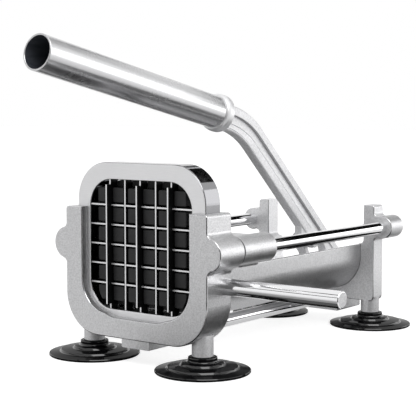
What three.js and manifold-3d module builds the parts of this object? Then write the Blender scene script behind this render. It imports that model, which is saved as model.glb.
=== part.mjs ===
// French fry cutter: a lever machine that pushes a studded block through a grid of blades.
// Millimetres. X runs across the machine, Y from its front face to the rear, Z up from the table.
// The pose is the closed one: carriage forward, lever down over the machine.

import * as THREE from 'three';
import { mergeVertices } from 'three/addons/utils/BufferGeometryUtils.js';
import Module from 'manifold-3d';

const wasm = await Module();
wasm.setup();

// Fits shared by all pieces
const seatGap = 0.3;             // between two pieces that rest on each other
const slideGap = 0.35;           // around a pin or rod that slides or turns
const pusherGap = 0.9;           // around the pusher in the trough and the frame
const overrun = 2;               // how far a cut runs past the face it opens
const arcError = 0.16;           // how far a chord may lie inside its arc
const roundSteps = 24;           // chords round a turned piece
const barSteps = 16;             // chords round a rod or bar
const smallRoundSteps = 12;      // chords round a screw, a pin or a bore

// The grid that cuts the fries
const cellPitch = 12.7;
const cellsAcross = 6;
const bladeThickness = 1;
const bladeDepth = 8;
const bladeEdge = 1.6;           // length of the sharpened rear edge
const bladeStepForward = 3.7;    // every second upright blade stands this far forward
const bladeStepEndShare = 0.25;  // of a cell: the forward part ends this far inside the frame
const bladeTabDepth = 3;         // how far a blade end sits in the frame
const bladeNotchWidth = 1.6;
const bladeNotchPlay = 0.3;
const bladeFrontY = 6.8;

// The square frame that holds the grid and drops into the front casting
const frameFrontY = 6;
const frameDepth = 15;
const frameHalfWidth = 52.8;
const frameBottomZ = 22.2;
const frameCornerRadius = 24.5;
const frameWall = 11;
const frameInnerCornerRadius = 17.5;
const frameEdge = 1.2;

// The front casting
const castingWall = 5.2;         // beside the blade frame
const castingFloor = 6.1;        // under it
const castingTopAboveGrid = 23.7;
const castingDepth = 25.3;
const castingCornerRadius = 27;
const castingTopRadius = 2;
const castingEdge = 0.9;
const mouthLip = 8.5;            // how far the front lip reaches in over the blade frame
const mouthCornerRadius = 21.5;
const bossRadius = 10.5;
const bossFilletRadius = 3.5;
const tabHalfWidth = 11.5;
const tabBottomZ = 10.3;
const tabFrontY = 1.5;
const tabEdge = 1;

// Guide rods and their ends
const rodBelowGrid = 0.6;
const rodRadius = 4.5;
const rodFrontY = 6.3;
const rodInPlate = 13;           // how deep the rod's end sits in the rear plate
const rodChamfer = 0.8;
const setScrewRadius = 2;
const setScrewLength = 4.4;

// The trough
const troughInset = 1.3;         // inside the blade frame's opening
const troughBottomZ = 26.5;
const troughRimBelowGrid = 14;
const troughSideRise = 8.8;      // straight wall between the round corner and the rim's edge
const troughWall = 2.2;
const troughRimEdge = 0.7;
const grooveDepth = 1.2;         // how far the trough's ends sit in the two castings

// The rear plate
const plateFrontY = 211.4;
const plateThickness = 13.4;
const plateSideStep = 6.4;       // narrower than the front casting
const plateTopAboveGrid = 15.2;
const plateBottomZ = 18.7;
const plateCornerRadius = 3.5;
const plateTopRadius = 2;
const plateEdge = 0.8;
const plateMouthClearance = 2.3; // beside the trough
const plateMouthStep = 3.5;      // above the trough's rim the mouth is wider
const plateMouthRadius = 3;
const earRadius = 8.35;
const earFilletRadius = 3;
const earLength = 18;

// Legs and suction feet
const legInset = 13;             // in from the front casting's side
const legRadius = 6.8;
const legBottomZ = 10;
const legTopZ = 23.5;
const spigotRadius = 4;
const spigotBottomZ = 4.6;
const footRadius = 30;
const footRimThickness = 1.7;
const footEdge = 0.4;
const footHollow = 2.2;
const footHollowRadius = 26;
const footRingRadius = 21.5;
const footRingHeight = 3.9;
const footCrownRadius = 12.8;
const footCrownHeight = 6;
const footNeckRadius = 9.2;
const footNeckHeight = 9.7;
const footRingRise = 1.3;
const footNeckFlare = 0.9;

// Side bar and tie rod
const sideBarRadius = 5.15;
const sideBarEndX = 141.8;
const sideBarY = 18.7;
const sideBarZ = 53.4;
const sideBarThread = 4.3;
const sideBarThreadRadius = 3;
const barChamfer = 0.9;
const tieRodRadius = 4.5;
const tieRodZ = 15.1;
const tieRodThread = 12;
const tieRodThreadRadius = 3;

// Carriage: crosshead, sleeves and bushes
const sleeveRadius = 9.4;
const sleeveLength = 35.7;
const sleeveEdge = 0.6;
const bushRadius = 6.2;
const bushLength = 10;
const crossheadDepth = 18;
const crossheadBelowRod = 11.4;
const crossheadAboveRod = 8.2;
const crossheadCorner = 2.2;
const crossheadEdge = 1.2;

// Pusher block
const pusherRearY = 36;
const pusherPlateDepth = 18;
const pusherStudFaceY = 7.5;
const studSize = 9.7;
const studEdge = 0.8;
const pusherEdge = 0.8;
const pusherScrewRadius = 2;
const pusherScrewX = 16;
const pusherScrewFromEdge = 4.5;
const pusherScrewReach = 12;     // thread inside the block
const screwHeadRadius = 3.6;
const screwHeadHeight = 2.8;
const screwSocketRadius = 1.7;
const screwSocketDepth = 1.6;

// Lever: fulcrum and drive pin
const drivePinBeforePlate = 13.4;
const drivePinBelowRod = 12;
const carriageStroke = 104;
const fulcrumZ = 23;
const drivePinRadius = 3;
const slotPlay = 0.5;            // extra room round the drive pin in the lever's slot
const slotWall = 3.6;
const trackSteps = 30;
const fulcrumPinRadius = 4;
const fulcrumHubRadius = 10.5;
const fulcrumHubHalfWidth = 5.5;
const driveHubRadius = 10;
const lobeShoulderRadius = 2;    // where the hub's front runs up into the arm
const lobeShoulderRise = 11.1;
const lobeHalfWidth = 2.95;      // the plate between the two hubs, half its thickness
const slotRimHalfWidth = 3.5;

// Lever arm: a thick web that thins towards a valley in front of the rear flange
const armHalfWidth = 3.75;
const armHalfDepth = 10.2;
const armCollarRearDepth = 7.4;  // the arm is slimmer where it leaves the collar
const armWebHalf = 3.1;
const armValleyHalf = 0.9;       // where the web is thinnest, before the rear flange
const armSlope = 7.2;            // the web thins over this depth
const armMidSlopeHalf = 2.3;
const armStep = 0.6;
const frontFlange = 1.5;
const rearFlange = 5.9;
const armEdge = 0.9;
const armLean = THREE.MathUtils.degToRad(41.9);
const bendRadius = 70;
const bendSteps = 12;
const armCornerSetBack = 83.4;   // where the grip's line meets the arm's line, from the drive pin
const armCornerRise = 90.9;
const armEndBelowPin = 16.4;

// Grip
const gripTilt = THREE.MathUtils.degToRad(11.8);
const gripSetBack = 31.2;        // from that corner to the grip's rear end
const gripLength = 169;
const gripRadius = 11;
const gripWall = 1.2;
const gripEdge = 0.5;
const collarRadius = 13;
const collarLength = 8.5;
const collarEdge = 1.4;
const shankRadius = 9.4;
const shankReach = 30;           // how far the arm's round shank goes into the grip
const shankChamfer = 1;
const shankShoulder = 1.5;       // what shows of the shank behind the collar

// Drawbars, from the crosshead to the lever's drive pin
const drawbarThickness = 3;
const drawbarHalfHeight = 3.6;
const drawbarEyeRadius = 5.6;
const drawbarGap = 0.4;          // between the lever and each bar
const drawbarLugLength = 24;
const drawbarLugRoot = 9;        // how far the lug reaches forward under the crosshead
const drawbarLugGap = 0.35;
const drawbarBoltRadius = 2;
const drawbarBoltShares = [0.27, 0.75];
const boltHeadRadius = 3.4;
const boltHeadHeight = 2.2;
const pinHeadRadius = 5.2;
const pinHeadHeight = 2.1;
const clipThickness = 1.1;
const clipWidth = 2.2;
const clipMouth = THREE.MathUtils.degToRad(70);
const pinTail = 1.2;             // what shows of a pin past its clip

// Fulcrum bracket
const bracketHalfWidth = 26;
const bracketBeforePlate = 8.4;
const bracketBehindPlate = 12.2;
const bracketBottomZ = 10;
const bracketEdge = 1;
const bracketBossHalfWidth = 9;
const bracketBossTopZ = 22;
const lugInner = 5.9;
const lugOuter = 12;
const lugRadius = 12;
const lugFootZ = 26;
const bracketScrewX = 16;
const bracketScrewRadius = 2.5;
const bracketScrewHeadRadius = 3.9;
const bracketScrewHeadHeight = 4;
const bracketScrewSink = 0.6;
const bracketScrewReach = 7;     // thread inside the rear plate

// Sizes that follow from the ones above
const gridZ = frameBottomZ + frameHalfWidth;
const frameTopZ = gridZ + frameHalfWidth;
const frameInnerHalf = frameHalfWidth - frameWall;
const castingHalfWidth = frameHalfWidth + seatGap + castingWall;
const castingTopZ = gridZ + castingTopAboveGrid;
const castingBottomZ = frameBottomZ - seatGap - castingFloor;
const mouthHalfWidth = frameHalfWidth - mouthLip;
const mouthBottomZ = frameBottomZ + mouthLip;
const rodX = castingHalfWidth;
const rodZ = gridZ - rodBelowGrid;
const legX = castingHalfWidth - legInset;
const troughHalfWidth = frameInnerHalf - troughInset;
const troughRimZ = gridZ - troughRimBelowGrid;
const plateHalfWidth = castingHalfWidth - plateSideStep;
const plateTopZ = gridZ + plateTopAboveGrid;
const plateMouthHalfWidth = troughHalfWidth + plateMouthClearance;
const plateMouthStepZ = troughRimZ + plateMouthStep;
const crossheadBottomZ = rodZ - crossheadBelowRod;
const crossheadTopZ = rodZ + crossheadAboveRod;
const frameRearY = frameFrontY + frameDepth;
const troughCornerRadius = troughRimZ - troughRimEdge - troughSideRise - troughBottomZ;
const troughInnerHalf = troughHalfWidth - troughWall;
const troughFloorZ = troughBottomZ + troughWall;
const troughInnerRadius = troughCornerRadius - troughWall;
const plateRearY = plateFrontY + plateThickness;
const plateMiddleY = plateFrontY + plateThickness / 2;
const castingMiddleY = castingDepth / 2;
const rodRearY = plateFrontY + rodInPlate;
const sleeveFrontY = castingDepth + seatGap;
const sleeveRearY = sleeveFrontY + sleeveLength;
const crossheadFrontY = pusherRearY + seatGap;
const crossheadRearY = crossheadFrontY + crossheadDepth;
const bracketFrontY = plateFrontY - bracketBeforePlate;
const bracketRearY = plateRearY + bracketBehindPlate;
const drivePinY = plateFrontY - drivePinBeforePlate;
const drivePinZ = rodZ - drivePinBelowRod;
const fulcrumY = drivePinY + carriageStroke / 2;
const lobeShoulderZ = drivePinZ + lobeShoulderRise;
const armCornerY = drivePinY - armCornerSetBack;
const armCornerZ = drivePinZ + armCornerRise;
const armEndZ = drivePinZ - armEndBelowPin;
const gripRearY = armCornerY - gripSetBack;
const drawbarInner = armHalfWidth + drawbarGap;
const drawbarOuter = drawbarInner + drawbarThickness;
const leverSwing = Math.PI - 2 * Math.atan2(drivePinZ - fulcrumZ, carriageStroke / 2);
const gripRearZ = armCornerZ + (armCornerY - gripRearY) * Math.tan(gripTilt);

// Materials

function finish(color, roughness, metalness) {
  return new THREE.MeshStandardMaterial({ color, roughness, metalness });
}

const castAluminium = () => finish(0xc9cacd, 0.45, 0.85);
const machinedFace = () => finish(0xdcdddf, 0.32, 0.9);
const polishedSteel = () => finish(0xe4e6e8, 0.12, 1);
const brushedSteel = () => finish(0xb9bbbe, 0.3, 1);
const bladeSteel = () => finish(0xe9ebed, 0.2, 1);
const blackPlastic = () => finish(0x18191b, 0.5, 0);
const blackRubber = () => finish(0x121314, 0.4, 0);
const bushPlastic = () => finish(0xe8e4d8, 0.5, 0);
const screwSteel = () => finish(0x9fa2a6, 0.3, 1);

// Closed solids and booleans

function signedVolume(position, index) {
  const a = new THREE.Vector3();
  const b = new THREE.Vector3();
  const c = new THREE.Vector3();
  let volume = 0;
  for (let i = 0; i < index.length; i += 3) {
    a.fromBufferAttribute(position, index[i]);
    b.fromBufferAttribute(position, index[i + 1]);
    c.fromBufferAttribute(position, index[i + 2]);
    volume += a.dot(b.cross(c));
  }
  return volume;
}

function welded(geometry) {
  const bare = geometry.clone();
  bare.deleteAttribute('normal');
  bare.deleteAttribute('uv');
  const merged = mergeVertices(bare);
  const corners = merged.index.array;
  const kept = [];
  for (let i = 0; i < corners.length; i += 3) {
    const [a, b, c] = [corners[i], corners[i + 1], corners[i + 2]];
    if (a !== b && b !== c && c !== a) kept.push(a, b, c);
  }
  if (signedVolume(merged.attributes.position, kept) < 0) kept.reverse();
  merged.setIndex(kept);
  return merged;
}

function solidOf(geometry) {
  const closed = welded(geometry);
  return new wasm.Manifold(new wasm.Mesh({
    numProp: 3,
    vertProperties: new Float32Array(closed.attributes.position.array),
    triVerts: new Uint32Array(closed.index.array),
  }));
}

function geometryOf(solid) {
  const mesh = solid.getMesh();
  const geometry = new THREE.BufferGeometry();
  geometry.setAttribute('position', new THREE.BufferAttribute(mesh.vertProperties, mesh.numProp));
  geometry.setIndex(new THREE.BufferAttribute(mesh.triVerts, 1));
  geometry.computeVertexNormals();
  return geometry;
}

function joined(...geometries) {
  return geometryOf(geometries.map(solidOf).reduce((sum, solid) => sum.add(solid)));
}

function cut(geometry, ...tools) {
  return geometryOf(tools.map(solidOf).reduce((rest, tool) => rest.subtract(tool), solidOf(geometry)));
}

function common(first, second) {
  return geometryOf(solidOf(first).intersect(solidOf(second)));
}

// Directions: the local axes of a flat outline and of the way it is extruded

const acrossX = new THREE.Matrix4().makeBasis(
  new THREE.Vector3(0, 1, 0), new THREE.Vector3(0, 0, 1), new THREE.Vector3(1, 0, 0));
const alongY = new THREE.Matrix4().makeBasis(
  new THREE.Vector3(1, 0, 0), new THREE.Vector3(0, 0, 1), new THREE.Vector3(0, -1, 0));
const alongZ = new THREE.Matrix4();

function extruded(shape, way, from, to, edge = 0) {
  const geometry = new THREE.ExtrudeGeometry(shape, {
    depth: to - from - 2 * edge,
    bevelEnabled: edge > 0,
    bevelThickness: edge,
    bevelSize: edge,
    bevelOffset: -edge,
    bevelSegments: 1,
  });
  geometry.translate(0, 0, way === alongY ? edge - to : from + edge);
  return geometry.applyMatrix4(way);
}

// A flat outline in X and Z, extruded from one Y to another
const extrudedY = (shape, from, to, edge) => extruded(shape, alongY, from, to, edge);
// A flat outline in Y and Z, extruded from one X to another
const extrudedX = (shape, from, to, edge) => extruded(shape, acrossX, from, to, edge);
// A flat outline in X and Y, extruded from one Z to another
const extrudedZ = (shape, from, to, edge) => extruded(shape, alongZ, from, to, edge);

function rectangle(x0, y0, x1, y1) {
  return new THREE.Shape([
    new THREE.Vector2(x0, y0), new THREE.Vector2(x1, y0),
    new THREE.Vector2(x1, y1), new THREE.Vector2(x0, y1),
  ]);
}

// Points of an arc, clockwise where it ends at a smaller angle than it starts
function arc(x, y, radius, from, to) {
  const steps = Math.ceil(Math.abs(to - from) / (2 * Math.acos(1 - arcError / radius)));
  return Array.from({ length: steps + 1 }, (unused, i) => {
    const angle = from + (to - from) * i / steps;
    return new THREE.Vector2(x + radius * Math.cos(angle), y + radius * Math.sin(angle));
  });
}

function discPoints(x, y, radius) {
  return arc(x, y, radius, 0, 2 * Math.PI).slice(1);
}

function roundedRectangle(halfWidth, bottom, top, bottomRadius, topRadius = bottomRadius) {
  return new THREE.Shape([
    ...arc(halfWidth - bottomRadius, bottom + bottomRadius, bottomRadius, -Math.PI / 2, 0),
    ...arc(halfWidth - topRadius, top - topRadius, topRadius, 0, Math.PI / 2),
    ...arc(topRadius - halfWidth, top - topRadius, topRadius, Math.PI / 2, Math.PI),
    ...arc(bottomRadius - halfWidth, bottom + bottomRadius, bottomRadius, Math.PI, 1.5 * Math.PI),
  ]);
}

// A profile of [radius, height] pairs turned about an axis: 'X', 'Y' or 'Z' through the given place
function turned(profile, axis, place, steps = roundSteps) {
  const points = profile.map(([radius, height]) => new THREE.Vector2(radius, height));
  const geometry = new THREE.LatheGeometry(points, steps);
  if (axis === 'X') geometry.rotateZ(-Math.PI / 2);
  if (axis === 'Z') geometry.rotateX(Math.PI / 2);
  return geometry.translate(place.x, place.y, place.z);
}

function at(x, y, z) {
  return new THREE.Vector3(x, y, z);
}

function rodProfile(radius, from, to, chamfer) {
  return [
    [0, from], [radius - chamfer, from], [radius, from + chamfer],
    [radius, to - chamfer], [radius - chamfer, to], [0, to],
  ];
}

function plainRod(radius, from, to) {
  return [[0, from], [radius, from], [radius, to], [0, to]];
}

function ringProfile(inner, outer, from, to, edge) {
  return [
    [inner, from], [outer - edge, from], [outer, from + edge],
    [outer, to - edge], [outer - edge, to], [inner, to], [inner, from],
  ];
}

function mirroredOutline(rightHalf) {
  const left = rightHalf.slice(1, -1).reverse().map((point) => new THREE.Vector2(-point.x, point.y));
  return new THREE.Shape([...rightHalf, ...left]);
}

// Right half of a U-shaped casting: up the outer side round its ear, then down inside the mouth
function earedHalf(size, mouth) {
  const rise = Math.sqrt((size.earRadius + size.fillet) ** 2
    - (size.halfWidth + size.fillet - rodX) ** 2);
  const filletX = size.halfWidth + size.fillet;
  const lean = Math.atan2(rise, rodX - filletX);
  return [
    new THREE.Vector2(0, size.bottom),
    ...arc(size.halfWidth - size.corner, size.bottom + size.corner, size.corner, -Math.PI / 2, 0),
    ...arc(filletX, rodZ - rise, size.fillet, Math.PI, lean),
    ...arc(rodX, rodZ, size.earRadius, lean - Math.PI, Math.PI - lean),
    ...arc(filletX, rodZ + rise, size.fillet, -lean, -Math.PI),
    ...arc(size.halfWidth - size.topRadius, size.top - size.topRadius, size.topRadius, 0, Math.PI / 2),
    ...mouth,
  ];
}

// Right half of a mouth that is open upward, from its top down to the middle of its floor
function mouthHalf(halfWidth, top, floor, radius) {
  return [
    new THREE.Vector2(halfWidth, top),
    ...arc(halfWidth - radius, floor + radius, radius, 0, -Math.PI / 2),
    new THREE.Vector2(0, floor),
  ];
}

function troughOutline(grow) {
  const radius = troughCornerRadius + grow;
  const half = troughHalfWidth + grow;
  const rim = troughRimZ + grow;
  return mirroredOutline([
    new THREE.Vector2(0, troughBottomZ - grow),
    ...arc(half - radius, troughBottomZ - grow + radius, radius, -Math.PI / 2, 0),
    new THREE.Vector2(half, rim - troughRimEdge),
    new THREE.Vector2(half - troughRimEdge, rim),
    ...mouthHalf(troughInnerHalf - grow, rim, troughFloorZ + grow, troughInnerRadius - grow),
  ]);
}

// Front casting, with the slot that the blade frame drops into

function legPair(y) {
  const parts = [];
  for (const side of [-1, 1]) {
    parts.push(turned(plainRod(legRadius, legBottomZ, legTopZ), 'Z', at(side * legX, y, 0), barSteps));
    parts.push(turned(plainRod(spigotRadius, spigotBottomZ, legBottomZ + overrun), 'Z',
      at(side * legX, y, 0), smallRoundSteps));
  }
  return parts;
}

function frontCasting() {
  const size = {
    halfWidth: castingHalfWidth, bottom: castingBottomZ, top: castingTopZ,
    corner: castingCornerRadius, topRadius: castingTopRadius,
    earRadius: bossRadius, fillet: bossFilletRadius,
  };
  const rearMouth = mouthHalf(troughInnerHalf, castingTopZ, troughFloorZ, troughInnerRadius);
  const body = extrudedY(mirroredOutline(earedHalf(size, rearMouth)), 0, castingDepth, castingEdge);
  const tab = extrudedY(roundedRectangle(tabHalfWidth, tabBottomZ, castingBottomZ + overrun, tabEdge),
    tabFrontY, castingDepth - seatGap, tabEdge / 2);
  const block = joined(body, tab, ...legPair(castingMiddleY));

  const above = castingTopZ + overrun;
  const frontMouth = roundedRectangle(mouthHalfWidth, mouthBottomZ, above, mouthCornerRadius, overrun);
  const slot = roundedRectangle(frameHalfWidth + seatGap, frameBottomZ - seatGap, above,
    frameCornerRadius + seatGap, overrun);
  const tools = [
    extrudedY(frontMouth, -overrun, frameFrontY),
    extrudedY(slot, frameFrontY - seatGap, frameRearY + seatGap),
    extrudedY(troughOutline(seatGap), castingDepth - grooveDepth - seatGap, castingDepth + overrun),
    turned(plainRod(tieRodThreadRadius + seatGap, castingDepth - tieRodThread - seatGap,
      castingDepth + overrun), 'Y', at(0, 0, tieRodZ), smallRoundSteps),
    turned(plainRod(sideBarThreadRadius + seatGap, castingHalfWidth - sideBarThread - seatGap,
      castingHalfWidth + overrun), 'X', at(0, sideBarY, sideBarZ), smallRoundSteps),
  ];
  for (const side of [-1, 1]) {
    tools.push(turned(plainRod(rodRadius + seatGap, rodFrontY - seatGap, castingDepth + overrun), 'Y',
      at(side * rodX, 0, rodZ), smallRoundSteps));
    tools.push(setScrewHole(side, castingMiddleY, bossRadius));
  }
  return cut(block, ...tools);
}

// Blade frame

function bladePlaces() {
  const count = cellsAcross - 1;
  return Array.from({ length: count }, (unused, i) => (i - (count - 1) / 2) * cellPitch);
}

function bladeFrame() {
  const outline = roundedRectangle(frameHalfWidth, frameBottomZ, frameTopZ, frameCornerRadius);
  outline.holes.push(roundedRectangle(frameInnerHalf, gridZ - frameInnerHalf, gridZ + frameInnerHalf,
    frameInnerCornerRadius));
  const body = extrudedY(outline, frameFrontY, frameRearY, frameEdge);
  const slots = [];
  const reach = frameInnerHalf + bladeTabDepth + seatGap;
  const half = bladeThickness / 2 + seatGap;
  const slotRearY = bladeFrontY + bladeDepth + seatGap;
  for (const place of bladePlaces()) {
    slots.push(extrudedY(rectangle(place - half, gridZ - reach, place + half, gridZ + reach),
      frameFrontY - overrun, slotRearY));
    slots.push(extrudedY(rectangle(-reach, gridZ + place - half, reach, gridZ + place + half),
      frameFrontY - overrun, slotRearY));
  }
  return cut(body, ...slots);
}

// Blades: upright ones are notched from behind, level ones from the front, and they interlock

function bladeSection(frontY) {
  const half = bladeThickness / 2;
  const rearY = bladeFrontY + bladeDepth;
  const edgeY = rearY - bladeEdge;
  return [[-half, frontY], [half, frontY], [half, edgeY], [0, rearY], [-half, edgeY]];
}

function uprightBlade(place, stepped) {
  const frontY = bladeFrontY - (stepped ? bladeStepForward : 0);
  const corners = bladeSection(frontY).map(([x, y]) => new THREE.Vector2(place + x, y));
  const reach = frameInnerHalf + bladeTabDepth;
  const body = extrudedZ(new THREE.Shape(corners), gridZ - reach, gridZ + reach);
  const notchY = bladeFrontY + bladeDepth / 2 - bladeNotchPlay;
  const half = bladeNotchWidth / 2;
  const tools = bladePlaces().map((level) => extrudedX(
    rectangle(notchY, gridZ + level - half, bladeFrontY + bladeDepth + overrun, gridZ + level + half),
    place - overrun, place + overrun));
  if (stepped) {
    const tabStart = frameInnerHalf - bladeStepEndShare * cellPitch;
    for (const side of [-1, 1]) {
      const [low, high] = [gridZ + side * tabStart, gridZ + side * (reach + overrun)].sort((a, b) => a - b);
      tools.push(extrudedX(rectangle(frontY - overrun, low, bladeFrontY, high), place - overrun,
        place + overrun));
    }
  }
  return cut(body, ...tools);
}

function levelBlade(level) {
  const corners = bladeSection(bladeFrontY).map(([z, y]) => new THREE.Vector2(y, gridZ + level + z));
  const reach = frameInnerHalf + bladeTabDepth;
  const body = extrudedX(new THREE.Shape(corners), -reach, reach);
  const notchY = bladeFrontY + bladeDepth / 2 + bladeNotchPlay;
  const half = bladeNotchWidth / 2;
  const tools = bladePlaces().map((place) => extrudedX(
    rectangle(bladeFrontY - overrun, gridZ + level - overrun, notchY, gridZ + level + overrun),
    place - half, place + half));
  return cut(body, ...tools);
}

// Trough and rear plate

function trough() {
  return extrudedY(troughOutline(0), castingDepth - grooveDepth, plateFrontY + grooveDepth);
}

function rearPlate() {
  const size = {
    halfWidth: plateHalfWidth, bottom: plateBottomZ, top: plateTopZ,
    corner: plateCornerRadius, topRadius: plateTopRadius,
    earRadius, fillet: earFilletRadius,
  };
  const mouth = [
    new THREE.Vector2(plateMouthHalfWidth, plateTopZ),
    ...arc(plateMouthHalfWidth - plateMouthRadius, plateMouthStepZ, plateMouthRadius, 0, -Math.PI / 2),
    ...mouthHalf(troughInnerHalf, troughRimZ, troughFloorZ, troughInnerRadius),
  ];
  const body = extrudedY(mirroredOutline(earedHalf(size, mouth)), plateFrontY, plateRearY, plateEdge);
  const ears = [-1, 1].map((side) => turned(
    rodProfile(earRadius, plateMiddleY, plateFrontY + earLength, plateEdge), 'Y',
    at(side * rodX, 0, rodZ)));
  const block = joined(body, ...ears, ...legPair(plateMiddleY));
  const tools = [
    extrudedY(troughOutline(seatGap), plateFrontY - overrun, plateFrontY + grooveDepth + seatGap),
  ];
  for (const side of [-1, 1]) {
    tools.push(turned(plainRod(rodRadius + seatGap, plateFrontY - overrun, rodRearY + seatGap), 'Y',
      at(side * rodX, 0, rodZ), smallRoundSteps));
    tools.push(setScrewHole(side, plateMiddleY, earRadius));
    tools.push(turned(plainRod(bracketScrewRadius + seatGap, plateBottomZ - overrun,
      plateBottomZ + bracketScrewReach + seatGap), 'Z', at(side * bracketScrewX, plateMiddleY, 0),
    smallRoundSteps));
  }
  return cut(block, ...tools);
}

// Guide rods, their set screws, the side bar and the tie rod

function guideRod(side) {
  return turned(rodProfile(rodRadius, rodFrontY, rodRearY, rodChamfer), 'Y', at(side * rodX, 0, rodZ),
    barSteps);
}

function setScrewHole(side, y, wallRadius) {
  return turned(plainRod(setScrewRadius + seatGap, rodZ - wallRadius - overrun, rodZ - rodRadius / 2), 'Z',
    at(side * rodX, y, 0), smallRoundSteps);
}

function setScrew(side, y, wallRadius) {
  const top = rodZ - rodRadius - seatGap;
  const length = Math.min(setScrewLength, wallRadius - rodRadius - seatGap);
  return turned(plainRod(setScrewRadius, top - length, top), 'Z', at(side * rodX, y, 0), smallRoundSteps);
}

function sideBar() {
  const start = castingHalfWidth + seatGap;
  const profile = [
    [0, castingHalfWidth - sideBarThread], [sideBarThreadRadius, castingHalfWidth - sideBarThread],
    [sideBarThreadRadius, start], [sideBarRadius - barChamfer / 2, start],
    [sideBarRadius, start + barChamfer / 2], [sideBarRadius, sideBarEndX - barChamfer],
    [sideBarRadius - barChamfer, sideBarEndX], [0, sideBarEndX],
  ];
  return turned(profile, 'X', at(0, sideBarY, sideBarZ), barSteps);
}

function tieRod() {
  const front = castingDepth + seatGap;
  const rear = bracketFrontY - seatGap;
  const profile = [
    [0, castingDepth - tieRodThread], [tieRodThreadRadius, castingDepth - tieRodThread],
    [tieRodThreadRadius, front], [tieRodRadius - barChamfer / 2, front],
    [tieRodRadius, front + barChamfer / 2], [tieRodRadius, rear - barChamfer / 2],
    [tieRodRadius - barChamfer / 2, rear], [tieRodThreadRadius, rear],
    [tieRodThreadRadius, bracketFrontY + tieRodThread], [0, bracketFrontY + tieRodThread],
  ];
  return turned(profile, 'Y', at(0, 0, tieRodZ), barSteps);
}

// Suction foot: a stepped rubber disc with a shallow hollow under it and a neck round the leg's spigot

function suctionFoot(side, y) {
  const bore = spigotRadius + seatGap;
  const profile = [
    [0, footHollow], [footHollowRadius, 0], [footRadius - footEdge, 0],
    [footRadius, footRimThickness], [footRingRadius + footRingRise, footRimThickness + footRingRise],
    [footRingRadius, footRingHeight], [footCrownRadius + footRingRise, footRingHeight + footRingRise / 2],
    [footCrownRadius, footCrownHeight], [footNeckRadius, footCrownHeight + 2 * footNeckFlare],
    [footNeckRadius, footNeckHeight], [bore, footNeckHeight],
    [bore, spigotBottomZ - seatGap], [0, spigotBottomZ - seatGap],
  ];
  return turned(profile, 'Z', at(side * legX, y, 0), roundSteps);
}

// Carriage

function crosshead() {
  const sleeves = [-1, 1].map((side) => turned(
    rodProfile(sleeveRadius, sleeveFrontY, sleeveRearY, sleeveEdge), 'Y', at(side * rodX, 0, rodZ)));
  const beam = extrudedY(roundedRectangle(rodX, crossheadBottomZ, crossheadTopZ, crossheadCorner),
    crossheadFrontY, crossheadRearY, crossheadEdge);
  const lugHalf = drawbarInner - drawbarLugGap;
  const lug = extrudedY(rectangle(-lugHalf, drivePinZ - drawbarHalfHeight, lugHalf,
    drivePinZ + drawbarHalfHeight), crossheadRearY - drawbarLugRoot, crossheadRearY + drawbarLugLength);
  const block = joined(beam, ...sleeves, lug);
  const tools = [-1, 1].map((side) => turned(plainRod(bushRadius + seatGap, sleeveFrontY - overrun,
    sleeveRearY + overrun), 'Y', at(side * rodX, 0, rodZ)));
  for (const place of pusherScrewPlaces()) {
    tools.push(turned(plainRod(pusherScrewRadius + seatGap, pusherRearY - overrun,
      crossheadRearY + overrun), 'Y', place, smallRoundSteps));
  }
  for (const y of drawbarBoltPlaces()) {
    tools.push(turned(plainRod(drawbarBoltRadius + seatGap, -lugHalf - overrun, lugHalf + overrun), 'X',
      at(0, y, drivePinZ), smallRoundSteps));
  }
  return cut(block, ...tools);
}

function bush(side, end) {
  const from = end === 'front' ? sleeveFrontY + seatGap : sleeveRearY - seatGap - bushLength;
  return turned(ringProfile(rodRadius + slideGap, bushRadius, from, from + bushLength, sleeveEdge), 'Y',
    at(side * rodX, 0, rodZ), smallRoundSteps);
}

function pusherScrewPlaces() {
  const levels = [crossheadBottomZ + pusherScrewFromEdge, crossheadTopZ - pusherScrewFromEdge];
  return [-1, 1].flatMap((side) => levels.map((z) => at(side * pusherScrewX, 0, z)));
}

function pusherBlock() {
  const plateFront = pusherRearY - pusherPlateDepth;
  const half = frameInnerHalf - pusherGap;
  const throughFrame = roundedRectangle(half, gridZ - half, gridZ + half,
    frameInnerCornerRadius - pusherGap);
  const throughTrough = roundedRectangle(troughInnerHalf - pusherGap, troughFloorZ + pusherGap,
    gridZ + half + overrun, troughInnerRadius - pusherGap, overrun);
  const envelope = common(extrudedY(throughFrame, pusherStudFaceY - overrun, pusherRearY, pusherEdge),
    extrudedY(throughTrough, pusherStudFaceY - overrun, pusherRearY, pusherEdge));
  const back = extrudedY(rectangle(-half, gridZ - half, half, gridZ + half), plateFront,
    pusherRearY + overrun);
  const studs = [];
  for (let column = 0; column < cellsAcross; column += 1) {
    for (let row = 0; row < cellsAcross; row += 1) {
      const x = (column - (cellsAcross - 1) / 2) * cellPitch;
      const z = gridZ + (row - (cellsAcross - 1) / 2) * cellPitch;
      const half = studSize / 2;
      studs.push(extrudedY(rectangle(x - half, z - half, x + half, z + half), pusherStudFaceY,
        plateFront + 2 * studEdge, studEdge));
    }
  }
  const holes = pusherScrewPlaces().map((place) => turned(plainRod(pusherScrewRadius + seatGap,
    pusherRearY - pusherScrewReach - seatGap, pusherRearY + overrun), 'Y', place, smallRoundSteps));
  return cut(common(joined(back, ...studs), envelope), ...holes);
}

function socketScrew(place, axis, radius, tip, seat, headRadius, headHeight) {
  const way = Math.sign(seat - tip);
  const top = seat + way * headHeight;
  return turned([
    [0, tip], [radius, tip], [radius, seat], [headRadius, seat], [headRadius, top],
    [screwSocketRadius, top], [screwSocketRadius, top - way * screwSocketDepth],
    [0, top - way * screwSocketDepth],
  ], axis, place, smallRoundSteps);
}

function pusherScrew(place) {
  return socketScrew(place, 'Y', pusherScrewRadius, pusherRearY - pusherScrewReach,
    crossheadRearY + seatGap, screwHeadRadius, screwHeadHeight);
}

// Drawbars and their fastenings

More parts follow.
